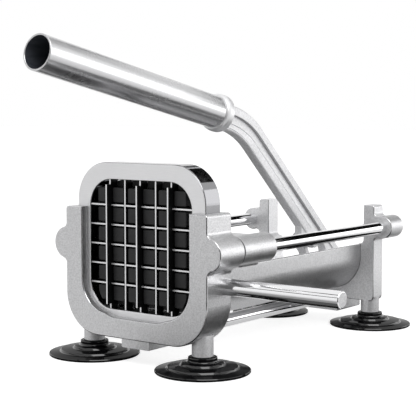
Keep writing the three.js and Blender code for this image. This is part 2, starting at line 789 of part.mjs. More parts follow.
function drawbarBoltPlaces() {
  return drawbarBoltShares.map((share) => crossheadRearY + share * drawbarLugLength);
}

function drawbar(side) {
  const eyeMeet = Math.asin(drawbarHalfHeight / drawbarEyeRadius);
  const front = crossheadRearY + seatGap;
  const shape = new THREE.Shape([
    new THREE.Vector2(front, drivePinZ - drawbarHalfHeight),
    ...arc(drivePinY, drivePinZ, drawbarEyeRadius, eyeMeet - Math.PI, Math.PI - eyeMeet),
    new THREE.Vector2(front, drivePinZ + drawbarHalfHeight),
  ]);
  const [low, high] = [side * drawbarInner, side * drawbarOuter].sort((a, b) => a - b);
  const holes = [turned(plainRod(drivePinRadius + seatGap, low - overrun, high + overrun), 'X',
    at(0, drivePinY, drivePinZ), smallRoundSteps)];
  for (const y of drawbarBoltPlaces()) {
    holes.push(turned(plainRod(drawbarBoltRadius + seatGap, low - overrun, high + overrun), 'X',
      at(0, y, drivePinZ), smallRoundSteps));
  }
  return cut(extrudedX(shape, low, high), ...holes);
}

function drawbarBolt(y) {
  const seat = drawbarOuter + seatGap;
  const profile = [
    [0, -seat - boltHeadHeight], [boltHeadRadius, -seat - boltHeadHeight], [boltHeadRadius, -seat],
    [drawbarBoltRadius, -seat], [drawbarBoltRadius, seat], [boltHeadRadius, seat],
    [boltHeadRadius, seat + boltHeadHeight], [0, seat + boltHeadHeight],
  ];
  return turned(profile, 'X', at(0, y, drivePinZ), smallRoundSteps);
}

function headedPin(radius, seat, y, z, headRadius) {
  const tail = -seat - clipThickness - seatGap - pinTail;
  const profile = [
    [0, tail], [radius - rodChamfer / 2, tail], [radius, tail + rodChamfer / 2], [radius, seat],
    [headRadius, seat], [headRadius, seat + pinHeadHeight - rodChamfer / 2],
    [headRadius - rodChamfer / 2, seat + pinHeadHeight], [0, seat + pinHeadHeight],
  ];
  return turned(profile, 'X', at(0, y, z), smallRoundSteps);
}

function openClip(radius, seat, y, z) {
  const inner = radius + seatGap;
  const start = clipMouth / 2 - Math.PI / 2;
  const end = 1.5 * Math.PI - clipMouth / 2;
  const shape = new THREE.Shape([
    ...arc(y, z, inner + clipWidth, start, end), ...arc(y, z, inner, end, start),
  ]);
  return extrudedX(shape, -seat - clipThickness, -seat);
}

// Lever

// Where the drive pin goes in the lever, while the carriage slides and the lever turns evenly
function pinTrack() {
  const points = [];
  for (let i = 0; i <= trackSteps; i += 1) {
    const share = i / trackSteps;
    const turn = leverSwing * share;
    const y = drivePinY + carriageStroke * share - fulcrumY;
    const z = drivePinZ - fulcrumZ;
    points.push(new THREE.Vector2(
      fulcrumY + y * Math.cos(turn) - z * Math.sin(turn),
      fulcrumZ + y * Math.sin(turn) + z * Math.cos(turn)));
  }
  return points;
}

// The track widened all round, with a round end at the tip where it starts and ends
function slotOutline(reach) {
  const track = pinTrack();
  const last = track.length - 1;
  const headings = track.map((point, i) => {
    const step = track[Math.min(i + 1, last)].clone().sub(track[Math.max(i - 1, 0)]);
    return step.angle();
  });
  const outward = THREE.ShapeUtils.area(track) > 0 ? -Math.PI / 2 : Math.PI / 2;
  const points = track.map((point, i) => new THREE.Vector2(
    point.x + reach * Math.cos(headings[i] + outward), point.y + reach * Math.sin(headings[i] + outward)));
  const from = headings[last] + outward;
  const sweep = THREE.MathUtils.euclideanModulo(headings[0] - headings[last], 2 * Math.PI);
  const to = from + (outward < 0 ? sweep : sweep - 2 * Math.PI);
  return new THREE.Shape([...points, ...arc(track[last].x, track[last].y, reach, from, to).slice(1, -1)]);
}

// The outline of a tight band round several discs given as [y, z, radius]
function hullOutline(discs) {
  const points = discs.flatMap(([y, z, radius]) => discPoints(y, z, radius));
  points.sort((a, b) => a.x - b.x || a.y - b.y);
  const side = (ordered) => {
    const chain = [];
    for (const point of ordered) {
      while (chain.length > 1) {
        const [a, b] = chain.slice(-2);
        if ((b.x - a.x) * (point.y - a.y) - (b.y - a.y) * (point.x - a.x) > 0) break;
        chain.pop();
      }
      chain.push(point);
    }
    return chain.slice(0, -1);
  };
  return new THREE.Shape([...side(points), ...side([...points].reverse())]);
}

// One cross-section of the arm: [x, depth] pairs, the front flange at negative depth
function armSection(rearDepth) {
  const front = -armHalfDepth;
  const valley = rearDepth - rearFlange;
  const right = [
    [armHalfWidth - armEdge, front], [armHalfWidth, front + armEdge], [armHalfWidth, front + frontFlange],
    [armWebHalf, front + frontFlange + armStep], [armWebHalf, valley - armSlope],
    [armMidSlopeHalf, valley - armSlope / 2], [armValleyHalf, valley],
    [armHalfWidth - armStep / 2, valley + armStep], [armHalfWidth, valley + 2 * armStep],
    [armHalfWidth, rearDepth - armEdge], [armHalfWidth - armEdge, rearDepth],
  ];
  return [...right, ...right.map(([x, depth]) => [-x, depth]).reverse()];
}

// Stations down the middle of the arm: place, heading below the horizontal, and rear half depth
function armStations() {
  const turn = armLean - gripTilt;
  const tangent = bendRadius * Math.tan(turn / 2);
  const startY = armCornerY - tangent * Math.cos(gripTilt);
  const startZ = armCornerZ + tangent * Math.sin(gripTilt);
  const lead = (startY - gripRearY) / Math.cos(gripTilt) - collarLength - seatGap;
  const stations = [{
    y: startY - lead * Math.cos(gripTilt), z: startZ + lead * Math.sin(gripTilt),
    heading: gripTilt, rear: armCollarRearDepth,
  }];
  for (let i = 0; i <= bendSteps; i += 1) {
    const share = i / bendSteps;
    const heading = gripTilt + turn * share;
    stations.push({
      y: startY + bendRadius * (Math.sin(heading) - Math.sin(gripTilt)),
      z: startZ - bendRadius * (Math.cos(gripTilt) - Math.cos(heading)),
      heading, rear: armCollarRearDepth + (armHalfDepth - armCollarRearDepth) * share,
    });
  }
  const bendEnd = stations[stations.length - 1];
  const run = (bendEnd.z - armEndZ) / Math.sin(armLean);
  stations.push({
    y: bendEnd.y + run * Math.cos(armLean), z: armEndZ, heading: armLean, rear: armHalfDepth,
  });
  return stations;
}

function armSweep() {
  const rings = armStations().map(({ y, z, heading, rear }) => armSection(rear).map(([x, depth]) => [
    x, y + depth * Math.sin(heading), z + depth * Math.cos(heading)]));
  const count = rings[0].length;
  const index = [];
  for (let ring = 1; ring < rings.length; ring += 1) {
    for (let i = 0; i < count; i += 1) {
      const next = (i + 1) % count;
      const [a, b] = [(ring - 1) * count + i, (ring - 1) * count + next];
      const [c, d] = [ring * count + i, ring * count + next];
      index.push(a, b, d, a, d, c);
    }
  }
  const flat = armSection(armHalfDepth).map(([x, depth]) => new THREE.Vector2(x, depth));
  const lastRing = (rings.length - 1) * count;
  for (const [a, b, c] of THREE.ShapeUtils.triangulateShape(flat, [])) {
    index.push(c, b, a, lastRing + a, lastRing + b, lastRing + c);
  }
  const geometry = new THREE.BufferGeometry();
  geometry.setAttribute('position', new THREE.Float32BufferAttribute(rings.flat(2), 3));
  geometry.setIndex(index);
  return geometry;
}

// A turned piece on the grip's axis, its heights measured forward from the grip's rear end
function onGripAxis(geometry) {
  return geometry.rotateX(Math.PI - gripTilt).translate(0, gripRearY, gripRearZ);
}

function leverArm() {
  const hub = [fulcrumY, fulcrumZ, fulcrumHubRadius];
  const driveHub = [drivePinY, drivePinZ, driveHubRadius];
  const end = armStations().at(-1);
  const shoulder = [drivePinY - driveHubRadius + lobeShoulderRadius, lobeShoulderZ, lobeShoulderRadius];
  const lobe = extrudedX(hullOutline([driveHub, hub, [end.y, end.z, armHalfDepth], shoulder]),
    -lobeHalfWidth, lobeHalfWidth);
  const slotRim = extrudedX(slotOutline(drivePinRadius + slotPlay + slotWall), -slotRimHalfWidth,
    slotRimHalfWidth);
  const hubBoss = extrudedX(new THREE.Shape(discPoints(...hub)), -fulcrumHubHalfWidth, fulcrumHubHalfWidth);
  const shank = onGripAxis(turned(rodProfile(shankRadius, -collarLength - seatGap - shankShoulder,
    shankReach, shankChamfer), 'Y', at(0, 0, 0)));
  const block = joined(armSweep(), lobe, slotRim, hubBoss, shank);
  const slot = extrudedX(slotOutline(drivePinRadius + slotPlay), -armHalfWidth - overrun,
    armHalfWidth + overrun);
  const bore = turned(plainRod(bushRadius + seatGap, -fulcrumHubHalfWidth - overrun,
    fulcrumHubHalfWidth + overrun), 'X', at(0, fulcrumY, fulcrumZ));
  return cut(block, slot, bore);
}

function fulcrumBush() {
  return turned(ringProfile(fulcrumPinRadius + slideGap, bushRadius, -fulcrumHubHalfWidth,
    fulcrumHubHalfWidth, seatGap), 'X', at(0, fulcrumY, fulcrumZ), smallRoundSteps);
}

function gripCollar() {
  const bore = shankRadius + 2 * seatGap;
  return onGripAxis(turned(ringProfile(bore, collarRadius, -collarLength, -seatGap, collarEdge), 'Y',
    at(0, 0, 0)));
}

function gripTube() {
  const inner = gripRadius - gripWall;
  const profile = [
    [inner, 0], [gripRadius - gripEdge, 0], [gripRadius, gripEdge], [gripRadius, gripLength - gripEdge],
    [gripRadius - gripEdge, gripLength], [inner + gripEdge / 2, gripLength],
    [inner, gripLength - gripEdge / 2], [inner, 0],
  ];
  return onGripAxis(turned(profile, 'Y', at(0, 0, 0)));
}

// Fulcrum bracket: a block under the rear plate with two lugs behind it

function fulcrumBracket() {
  const top = plateBottomZ - seatGap;
  const base = extrudedY(roundedRectangle(bracketHalfWidth, bracketBottomZ, top, bracketEdge),
    bracketFrontY, bracketRearY, bracketEdge / 2);
  const boss = extrudedY(roundedRectangle(bracketBossHalfWidth, bracketBottomZ + bracketEdge,
    bracketBossTopZ, bracketEdge), bracketFrontY, plateFrontY - seatGap, bracketEdge / 2);
  const lugStartY = plateRearY + seatGap;
  const lugShape = new THREE.Shape([
    new THREE.Vector2(lugStartY, bracketBottomZ + bracketEdge),
    ...arc(fulcrumY, fulcrumZ, lugRadius, -Math.PI / 2, Math.PI / 2),
    new THREE.Vector2(lugStartY, lugFootZ),
  ]);
  const lugs = [-1, 1].map((side) => {
    const [low, high] = [side * lugInner, side * lugOuter].sort((a, b) => a - b);
    return extrudedX(lugShape, low, high, bracketEdge / 2);
  });
  const block = joined(base, boss, ...lugs);
  const tools = [
    turned(plainRod(tieRodThreadRadius + seatGap, bracketFrontY - overrun,
      bracketFrontY + tieRodThread + seatGap), 'Y', at(0, 0, tieRodZ), smallRoundSteps),
    turned(plainRod(fulcrumPinRadius + seatGap, -lugOuter - overrun, lugOuter + overrun), 'X',
      at(0, fulcrumY, fulcrumZ), smallRoundSteps),
  ];
  for (const side of [-1, 1]) {
    const place = at(side * bracketScrewX, plateMiddleY, 0);
    tools.push(turned(plainRod(bracketScrewRadius + seatGap, bracketBottomZ, top + overrun), 'Z', place,
      smallRoundSteps));
    tools.push(turned(plainRod(bracketScrewHeadRadius + seatGap, bracketBottomZ - overrun,
      bracketBottomZ + bracketScrewSink + bracketScrewHeadHeight + seatGap), 'Z', place, smallRoundSteps));
  }
  return cut(block, ...tools);
}

function bracketScrew(side) {
  const seat = bracketBottomZ + bracketScrewSink + bracketScrewHeadHeight;
  return socketScrew(at(side * bracketScrewX, plateMiddleY, 0), 'Z', bracketScrewRadius,
    plateBottomZ + bracketScrewReach, seat, bracketScrewHeadRadius, bracketScrewHeadHeight);
}

// Assembly

const machine = new THREE.Group();

function add(name, geometry, material) {
  const mesh = new THREE.Mesh(welded(geometry), material);
  mesh.name = name;
  machine.add(mesh);
}

add('front_casting', frontCasting(), castAluminium());
add('blade_frame', bladeFrame(), machinedFace());
bladePlaces().forEach((offset, i) => {
  add(`blade_upright_${i + 1}`, uprightBlade(offset, i % 2 === 0), bladeSteel());
  add(`blade_level_${i + 1}`, levelBlade(offset), bladeSteel());
});
add('trough', trough(), castAluminium());
add('rear_plate', rearPlate(), castAluminium());
add('side_bar', sideBar(), polishedSteel());
add('tie_rod', tieRod(), polishedSteel());
add('fulcrum_bracket', fulcrumBracket(), castAluminium());
add('fulcrum_pin', headedPin(fulcrumPinRadius, lugOuter + seatGap, fulcrumY, fulcrumZ,
  fulcrumPinRadius + clipWidth), screwSteel());
add('fulcrum_pin_clip', openClip(fulcrumPinRadius, lugOuter + seatGap, fulcrumY, fulcrumZ), screwSteel());

add('crosshead', crosshead(), castAluminium());
add('pusher_block', pusherBlock(), blackPlastic());
pusherScrewPlaces().forEach((spot, i) => add(`pusher_screw_${i + 1}`, pusherScrew(spot), screwSteel()));
drawbarBoltPlaces().forEach((y, i) => add(`drawbar_bolt_${i + 1}`, drawbarBolt(y), screwSteel()));
add('drive_pin', headedPin(drivePinRadius, drawbarOuter + seatGap, drivePinY, drivePinZ, pinHeadRadius),
  screwSteel());
add('drive_pin_clip', openClip(drivePinRadius, drawbarOuter + seatGap, drivePinY, drivePinZ), screwSteel());

for (const [side, hand] of [[1, 'right'], [-1, 'left']]) {
  add(`guide_rod_${hand}`, guideRod(side), polishedSteel());
  add(`drawbar_${hand}`, drawbar(side), brushedSteel());
  add(`suction_foot_front_${hand}`, suctionFoot(side, castingMiddleY), blackRubber());
  add(`suction_foot_rear_${hand}`, suctionFoot(side, plateMiddleY), blackRubber());
  add(`set_screw_front_${hand}`, setScrew(side, castingMiddleY, bossRadius), screwSteel());
  add(`set_screw_rear_${hand}`, setScrew(side, plateMiddleY, earRadius), screwSteel());
  add(`bracket_screw_${hand}`, bracketScrew(side), screwSteel());
  for (const end of ['front', 'rear']) add(`sleeve_bush_${end}_${hand}`, bush(side, end), bushPlastic());
}

add('lever_arm', leverArm(), castAluminium());
add('fulcrum_bush', fulcrumBush(), bushPlastic());
add('grip_collar', gripCollar(), castAluminium());
add('grip_tube', gripTube(), brushedSteel());

// The frame's origin: on the table, under the middle of the whole machine's box
const box = new THREE.Box3().setFromObject(machine);
machine.position.set(-(box.min.x + box.max.x) / 2, -(box.min.y + box.max.y) / 2, -box.min.z);

const fryCutter = new THREE.Group();
fryCutter.add(machine);

export default fryCutter;
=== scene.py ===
import math

import bmesh
import bpy
from mathutils import Matrix, Vector

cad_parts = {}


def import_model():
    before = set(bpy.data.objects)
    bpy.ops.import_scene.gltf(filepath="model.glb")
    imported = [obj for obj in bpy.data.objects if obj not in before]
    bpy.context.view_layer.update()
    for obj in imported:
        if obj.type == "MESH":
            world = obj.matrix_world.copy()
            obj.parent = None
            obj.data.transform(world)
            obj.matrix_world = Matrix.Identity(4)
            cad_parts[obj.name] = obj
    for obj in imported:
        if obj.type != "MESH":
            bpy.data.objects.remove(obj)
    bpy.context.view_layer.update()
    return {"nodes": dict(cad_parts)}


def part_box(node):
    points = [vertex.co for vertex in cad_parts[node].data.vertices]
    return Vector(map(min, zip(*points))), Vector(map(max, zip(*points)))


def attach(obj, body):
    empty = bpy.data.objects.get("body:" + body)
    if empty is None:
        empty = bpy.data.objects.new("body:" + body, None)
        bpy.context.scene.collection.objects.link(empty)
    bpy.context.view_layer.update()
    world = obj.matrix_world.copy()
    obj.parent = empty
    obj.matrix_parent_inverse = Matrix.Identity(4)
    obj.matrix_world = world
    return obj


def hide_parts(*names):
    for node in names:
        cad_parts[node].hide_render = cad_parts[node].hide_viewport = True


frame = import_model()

# Units and the machine's own frame: X 0 is its middle, Y 0 its front face, Z 0 the table, in millimetres
MM = 0.001
casting_low, casting_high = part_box("front_casting")
ORIGIN = Vector(((casting_low.x + casting_high.x) / 2, casting_low.y, 0))
TO_ROW_FRAME = Matrix.Translation(ORIGIN) @ Matrix.Scale(MM, 4)

# How finely shapes are made
CHORD_ERROR = 0.015
MOST_SAG_SHARE = 0.1
ROUND_STEPS = 72
FINE_STEPS = 96
EDGE_STEPS = 5
SOFT_STEPS = 4
SOFT_REACH_SHARE = 0.45
SHORTEST_MITER = 0.5
WELD = 1e-4
SHARP_ANGLE = math.radians(30)
NORMAL_WEIGHT = 60

# Clearances
OVERRUN = 2
SEAT_GAP = 0.3
SNUG = 0.04

# Bounds on a face's normal along one axis, for the faces that get a second material
EDGE_LEAN = (0.25, 0.97)
FOOT_LEAN = (0.2, 0.9)
UPRIGHT_LEAN = 0.01
TROUGH_LEAN = 0.5
FRAME_LEAN = 0.8
BAR_END_LEAN = 0.95
BORE_LEAN = -0.9

HANDS = ((1, "right"), (-1, "left"))

# Sizes of the pieces, as in the frame
GRID_Z = 75
CELL = 12.7
CELLS = 6

FRAME_FRONT, FRAME_REAR = 6, 21
FRAME_HALF = 52.8
FRAME_CORNER = 24.5
FRAME_INNER = 41.8
FRAME_INNER_CORNER = 17.5
FRAME_EDGE = 0.9
FRAME_SKIN = 0.5
BLADE_REAR = 14.8
BLADE_HALF = 0.5
BLADE_TAB = 3

CASTING_HALF = 58.3
CASTING_TOP = 98.7
CASTING_BOTTOM = 15.8
CASTING_DEPTH = 25.3
CASTING_CORNER = 27
CASTING_TOP_RADIUS = 2
CASTING_EDGE = 0.9
CASTING_REAR_EDGE = 1.5
MOUTH_HALF = 44.3
MOUTH_BOTTOM = 30.8
MOUTH_CORNER = 21.5
BOSS_RADIUS = 10.5
BOSS_FILLET = 3.5
TAB_HALF = 11.5
TAB_BOTTOM = 10.3
TAB_FRONT = 1.5
TAB_CORNER = 1

ROD_X = 58.3
ROD_Z = 74.4
ROD_RADIUS = 4.5
ROD_FRONT, ROD_REAR = 6.3, 224.4
ROD_CHAMFER = 0.8

TROUGH_HALF = 40.5
TROUGH_BOTTOM = 26.5
TROUGH_RIM = 61
TROUGH_CORNER = 25
TROUGH_WALL = 2.2
TROUGH_INNER_HALF = TROUGH_HALF - TROUGH_WALL
TROUGH_INNER_BOTTOM = TROUGH_BOTTOM + TROUGH_WALL
TROUGH_INNER_CORNER = TROUGH_CORNER - TROUGH_WALL
TROUGH_EDGE = 0.6
GROOVE = 1.2
GROOVE_EDGE = 0.6

PLATE_FRONT, PLATE_REAR = 211.4, 224.8
PLATE_HALF = 51.9
PLATE_BOTTOM = 18.7
PLATE_TOP = 90.2
PLATE_CORNER = 3.5
PLATE_TOP_RADIUS = 2
PLATE_EDGE = 0.8
PLATE_MOUTH_HALF = 42.8
PLATE_MOUTH_STEP = 64.5
PLATE_MOUTH_RADIUS = 3
EAR_RADIUS = 8.35
EAR_FILLET = 3
EAR_END = 229.4
EAR_BORE_RIM = 1

LEG_X = 45.3
LEG_RADIUS = 6.8
LEG_BOTTOM, LEG_TOP = 10, 23.5
CASTING_MIDDLE = CASTING_DEPTH / 2
PLATE_MIDDLE = (PLATE_FRONT + PLATE_REAR) / 2

SIDE_BAR_RADIUS = 5.15
SIDE_BAR_END = 141.8
SIDE_BAR_Y = 18.7
SIDE_BAR_Z = 53.4
BAR_CHAMFER = 0.9
TIE_ROD_RADIUS = 4.5
TIE_ROD_CHAMFER = 0.45
TIE_ROD_Z = 15.1

SLEEVE_RADIUS = 9.4
SLEEVE_FRONT, SLEEVE_REAR = 25.6, 61.3
SLEEVE_EDGE = 0.6
SLEEVE_FRONT_EDGE = 2.2
SEAM_SHADE_DEPTH = 1.4
BUSH_RADIUS = 6.2
BEAM_FRONT, BEAM_REAR = 36.3, 54.3
BEAM_BOTTOM, BEAM_TOP = 63, 82.6
BEAM_CORNER = 2.2
BEAM_EDGE = 1.2
LUG_HALF = 3.8
LUG_FRONT, LUG_REAR = 45.3, 78.3

PUSHER_FRONT, PUSHER_BASE, PUSHER_REAR = 7.5, 18, 36
PUSHER_GAP = 0.9
STUD = 9.7
STUD_EDGE = 0.8
STUD_CORNER = 1.1

DRIVE_Y, DRIVE_Z = 198, 62.4
FULCRUM_Y, FULCRUM_Z = 250, 23
DRIVE_PIN_RADIUS = 3
STROKE = 104
TRACK_STEPS = 90
SLOT_PLAY = 0.5
SLOT_WALL = 3.6
HUB_RADIUS = 10.5
HUB_HALF = 5.5
DRIVE_HUB = 10
LOBE_HALF = 2.95
SLOT_RIM_HALF = 3.5
SLOT_RIM_EDGE = 0.4
HUB_EDGE = 0.6
SHOULDER_RADIUS = 2
SHOULDER_Z = 73.5
DRAWBAR_INNER, DRAWBAR_OUTER = 4.15, 7.15
DRAWBAR_HALF = 3.6
DRAWBAR_EYE = 5.6
DRAWBAR_EDGE = 0.4

ARM_HALF = 3.75
ARM_DEPTH = 10.2
ARM_COLLAR_REAR = 7.4
ARM_WEB = 3.1
ARM_VALLEY = 1.7
ARM_SLOPE = 7.2
ARM_MIDDLE = 2.6
ARM_GROOVE = 0.9
ARM_GROOVE_WIDTH = 0.7
ARM_SOFT_EDGE = 0.12
ARM_SOFT_STEPS = 2
FRONT_FLANGE = 1.5
REAR_FLANGE = 5.9
ARM_EDGE = 0.8
ARM_LEAN = math.radians(41.9)
BEND_RADIUS = 70
BEND_STEPS = 36
ARM_CORNER_Y, ARM_CORNER_Z = 114.6, 153.3
ARM_END_Z = 46

GRIP_TILT = math.radians(11.8)
GRIP_REAR_Y = 83.4
GRIP_REAR_Z = ARM_CORNER_Z + (ARM_CORNER_Y - GRIP_REAR_Y) * math.tan(GRIP_TILT)
GRIP_LENGTH = 169
GRIP_RADIUS = 11
GRIP_WALL = 1.2
GRIP_EDGE = 0.5
COLLAR_RADIUS = 13
COLLAR_LENGTH = 8.5
COLLAR_EDGE = 1
COLLAR_REAR_RADIUS, COLLAR_REAR_TAPER = 11.4, 1.6
COLLAR_GRIP_RADIUS, COLLAR_GRIP_TAPER = 11.6, 2.2
SHANK_RADIUS = 9.4
SHANK_REACH = 30
SHANK_SHOULDER = 1.5
SHANK_CHAMFER = 1

BRACKET_HALF = 26
BRACKET_FRONT, BRACKET_REAR = 203, 237
BRACKET_BOTTOM, BRACKET_TOP = 10, 18.4
BRACKET_BOSS_HALF = 9
BRACKET_BOSS_TOP = 22
BRACKET_EDGE = 1
LUG_INNER, LUG_OUTER = 5.9, 12
LUG_RADIUS = 12
LUG_EDGE = 0.7
LUG_FOOT = 26
FULCRUM_PIN_RADIUS = 4


# Flat outlines, as lists of (u, v) points

def arc(x, y, radius, start, end):
    """Points of an arc from one angle to another, clockwise where the end is smaller."""
    step = 2 * math.acos(1 - min(CHORD_ERROR / radius, MOST_SAG_SHARE))
    count = max(2, math.ceil(abs(end - start) / step))
    angles = [start + (end - start) * i / count for i in range(count + 1)]
    return [(x + radius * math.cos(a), y + radius * math.sin(a)) for a in angles]


def disc(x, y, radius):
    return arc(x, y, radius, 0, 2 * math.pi)[1:]


def rounded_rectangle(half, bottom, top, bottom_radius, top_radius=None):
    top_radius = bottom_radius if top_radius is None else top_radius
    quarter = math.pi / 2
    return [
        *arc(half - bottom_radius, bottom + bottom_radius, bottom_radius, -quarter, 0),
        *arc(half - top_radius, top - top_radius, top_radius, 0, quarter),
        *arc(top_radius - half, top - top_radius, top_radius, quarter, 2 * quarter),
        *arc(bottom_radius - half, bottom + bottom_radius, bottom_radius, 2 * quarter, 3 * quarter),
    ]


def rectangle(u0, v0, u1, v1):
    return [(u0, v0), (u1, v0), (u1, v1), (u0, v1)]


def square_on_grid(half, corner):
    """A rounded square round the middle of the grid."""
    return rounded_rectangle(half, GRID_Z - half, GRID_Z + half, corner)


def moved(outline, x, y):
    return [(u + x, v + y) for u, v in outline]


def mirrored(right_half):
    return right_half + [(-u, v) for u, v in reversed(right_half[1:-1])]


def mouth_half(half, top, floor, radius):
    """The right half of a mouth that is open upward, from its top to the middle of its floor."""
    return [(half, top), *arc(half - radius, floor + radius, radius, 0, -math.pi / 2), (0, floor)]


def eared_outline(half, bottom, top, corner, top_radius, ear_radius, fillet, mouth):
    """A casting's outline. Each half goes up the outer side, round the ear and down inside the mouth."""
    fillet_x = half + fillet
    rise = math.sqrt((ear_radius + fillet) ** 2 - (fillet_x - ROD_X) ** 2)
    lean = math.atan2(rise, ROD_X - fillet_x)
    return mirrored([
        (0, bottom),
        *arc(half - corner, bottom + corner, corner, -math.pi / 2, 0),
        *arc(fillet_x, ROD_Z - rise, fillet, math.pi, lean),
        *arc(ROD_X, ROD_Z, ear_radius, lean - math.pi, math.pi - lean),
        *arc(fillet_x, ROD_Z + rise, fillet, -lean, -math.pi),
        *arc(half - top_radius, top - top_radius, top_radius, 0, math.pi / 2),
        *mouth,
    ])


def trough_outline(grow, edge):
    """The trough's outline, grown all round, with rounded rims."""
    half, radius = TROUGH_HALF + grow, TROUGH_CORNER + grow
    bottom, rim = TROUGH_BOTTOM - grow, TROUGH_RIM + grow
    inner = TROUGH_INNER_HALF - grow
    quarter = math.pi / 2
    return mirrored([
        (0, bottom),
        *arc(half - radius, bottom + radius, radius, -quarter, 0),
        *arc(half - edge, rim - edge, edge, 0, quarter),
        *arc(inner + edge, rim - edge, edge, quarter, 2 * quarter),
        *mouth_half(inner, rim, TROUGH_INNER_BOTTOM + grow, TROUGH_INNER_CORNER - grow)[1:],
    ])


def softened(corners, radius, steps=SOFT_STEPS):
    """The same outline with each corner turned into a short curve."""
    points = []
    count = len(corners)
    for i, corner in enumerate(corners):
        here = Vector(corner)
        before, after = Vector(corners[i - 1]) - here, Vector(corners[(i + 1) % count]) - here
        reach = min(radius, before.length * SOFT_REACH_SHARE, after.length * SOFT_REACH_SHARE)
        first, last = here + before.normalized() * reach, here + after.normalized() * reach
        for k in range(steps + 1):
            t = k / steps
            points.append(tuple(first * (1 - t) ** 2 + here * 2 * t * (1 - t) + last * t ** 2))
    return points


def runs_left(outline):
    """True where the outline runs anticlockwise."""
    return sum(a[0] * b[1] - b[0] * a[1] for a, b in zip(outline, outline[1:] + outline[:1])) > 0


def grown(outline, distance):
    """The outline moved outward by a distance, inward where it is negative."""
    side = 1 if runs_left(outline) else -1
    count = len(outline)
    points = []
    for i, (u, v) in enumerate(outline):
        before, after = outline[i - 1], outline[(i + 1) % count]
        incoming = Vector((u - before[0], v - before[1])).normalized()
        outgoing = Vector((after[0] - u, after[1] - v)).normalized()
        normal = Vector((incoming.y + outgoing.y, -incoming.x - outgoing.x)) * side
        miter = 2 / max(normal.length_squared, SHORTEST_MITER)
        points.append((u + normal.x * distance * miter, v + normal.y * distance * miter))
    return points


# Meshes, made in millimetres in the machine's own frame

def new_object(name, vertices, faces):
    mesh = bpy.data.meshes.new(name)
    mesh.from_pydata([tuple(v) for v in vertices], [], faces)
    shape = bmesh.new()
    shape.from_mesh(mesh)
    bmesh.ops.remove_doubles(shape, verts=shape.verts, dist=WELD)
    bmesh.ops.recalc_face_normals(shape, faces=shape.faces)
    shape.to_mesh(mesh)
    shape.free()
    made = bpy.data.objects.new(name, mesh)
    bpy.context.scene.collection.objects.link(made)
    return made


def spread(axis, u, v, w):
    """A point of an outline and its place along the extruded axis, as X, Y and Z."""
    return {"X": (w, u, v), "Y": (u, w, v), "Z": (u, v, w)}[axis]


def ring_sides(count, rings):
    """The faces between rings of count vertices each that follow one another."""
    faces = []
    for a in range(0, count * (rings - 1), count):
        b = a + count
        for i in range(count):
            j = (i + 1) % count
            faces.append((a + i, a + j, b + j, b + i))
    return faces


def ring_ends(count, rings):
    return [tuple(range(count)), tuple(range(count * (rings - 1), count * rings))]


def prism(outline, axis, low, high):
    count = len(outline)
    vertices = [spread(axis, u, v, w) for w in (low, high) for u, v in outline]
    return new_object("prism", vertices, ring_sides(count, 2) + ring_ends(count, 2))


def edge_layers(face, edge, inward, growth):
    """Places and growths of an outline that turn the sharp edge at a face into a quarter round."""
    if not edge:
        return [(face, 0)]
    layers = []
    for i in range(EDGE_STEPS + 1):
        turn = math.pi / 2 * i / EDGE_STEPS
        layers.append((face + inward * edge * (1 - math.cos(turn)), growth * edge * (1 - math.sin(turn))))
    return layers


def layered(outline, axis, layers):
    """A solid through the same outline at several places, each with its own growth."""
    count, rings = len(outline), len(layers)
    vertices = [spread(axis, u, v, place) for place, growth in layers for u, v in grown(outline, growth)]
    return new_object("prism", vertices, ring_ends(count, rings) + ring_sides(count, rings))


def rounded_prism(outline, axis, low, high, low_edge, high_edge):
    lower = edge_layers(low, low_edge, 1, -1)
    upper = edge_layers(high, high_edge, -1, -1)
    return layered(outline, axis, lower + upper[::-1])


def plate_across(outline, half, edge):
    """A plate with rounded edges, half of it on each side of the machine's middle."""
    return rounded_prism(outline, "X", -half, half, edge, edge)


def hole_across(outline, half):
    """A tool that cuts through such a plate."""
    return prism(outline, "X", -half - OVERRUN, half + OVERRUN)


def mouth_cutter(outline, axis, face, outside, inside, edge):
    """A tool that leaves a rounded edge where the opening it cuts meets a face."""
    inward = 1 if inside > outside else -1
    return layered(outline, axis, [(outside, edge), *edge_layers(face, edge, inward, 1), (inside, 0)])


def lathe(profile, axis, place, steps=ROUND_STEPS):
    """A profile of (radius, height) pairs turned about an axis through a place."""
    vertices = []
    for radius, height in profile:
        for i in range(steps):
            a = 2 * math.pi * i / steps
            x, y, z = spread(axis, radius * math.cos(a), radius * math.sin(a), height)
            vertices.append((x + place[0], y + place[1], z + place[2]))
    return new_object("lathe", vertices, ring_sides(steps, len(profile)))


def bake(piece):
    """Applies the piece's modifiers."""
    graph = bpy.context.evaluated_depsgraph_get()
    mesh = bpy.data.meshes.new_from_object(piece.evaluated_get(graph), depsgraph=graph)
    old = piece.data
    piece.modifiers.clear()
    piece.data = mesh
    bpy.data.meshes.remove(old)


def combine(piece, tools, operation):
    for tool in tools:
        change = piece.modifiers.new("combine", "BOOLEAN")
        change.operation = operation
        change.solver = "EXACT"
        change.object = tool
        bake(piece)
        bpy.data.objects.remove(tool)


def join(piece, *tools):
    combine(piece, tools, "UNION")


def carve(piece, *tools):
    combine(piece, tools, "DIFFERENCE")


def trim(piece, *tools):
    """Keeps only what lies inside every tool."""
    combine(piece, tools, "INTERSECT")


def beside(pieces):
    """Several separate meshes as one object."""
    first = pieces[0]
    shape = bmesh.new()
    for piece in pieces:
        shape.from_mesh(piece.data)
    shape.to_mesh(first.data)
    shape.free()
    for piece in pieces[1:]:
        bpy.data.objects.remove(piece)
    return first


def mark_sharp_edges(piece):
    shape = bmesh.new()
    shape.from_mesh(piece.data)
    for edge in shape.edges:
        edge.smooth = edge.calc_face_angle(0) < SHARP_ANGLE
    shape.to_mesh(piece.data)
    shape.free()


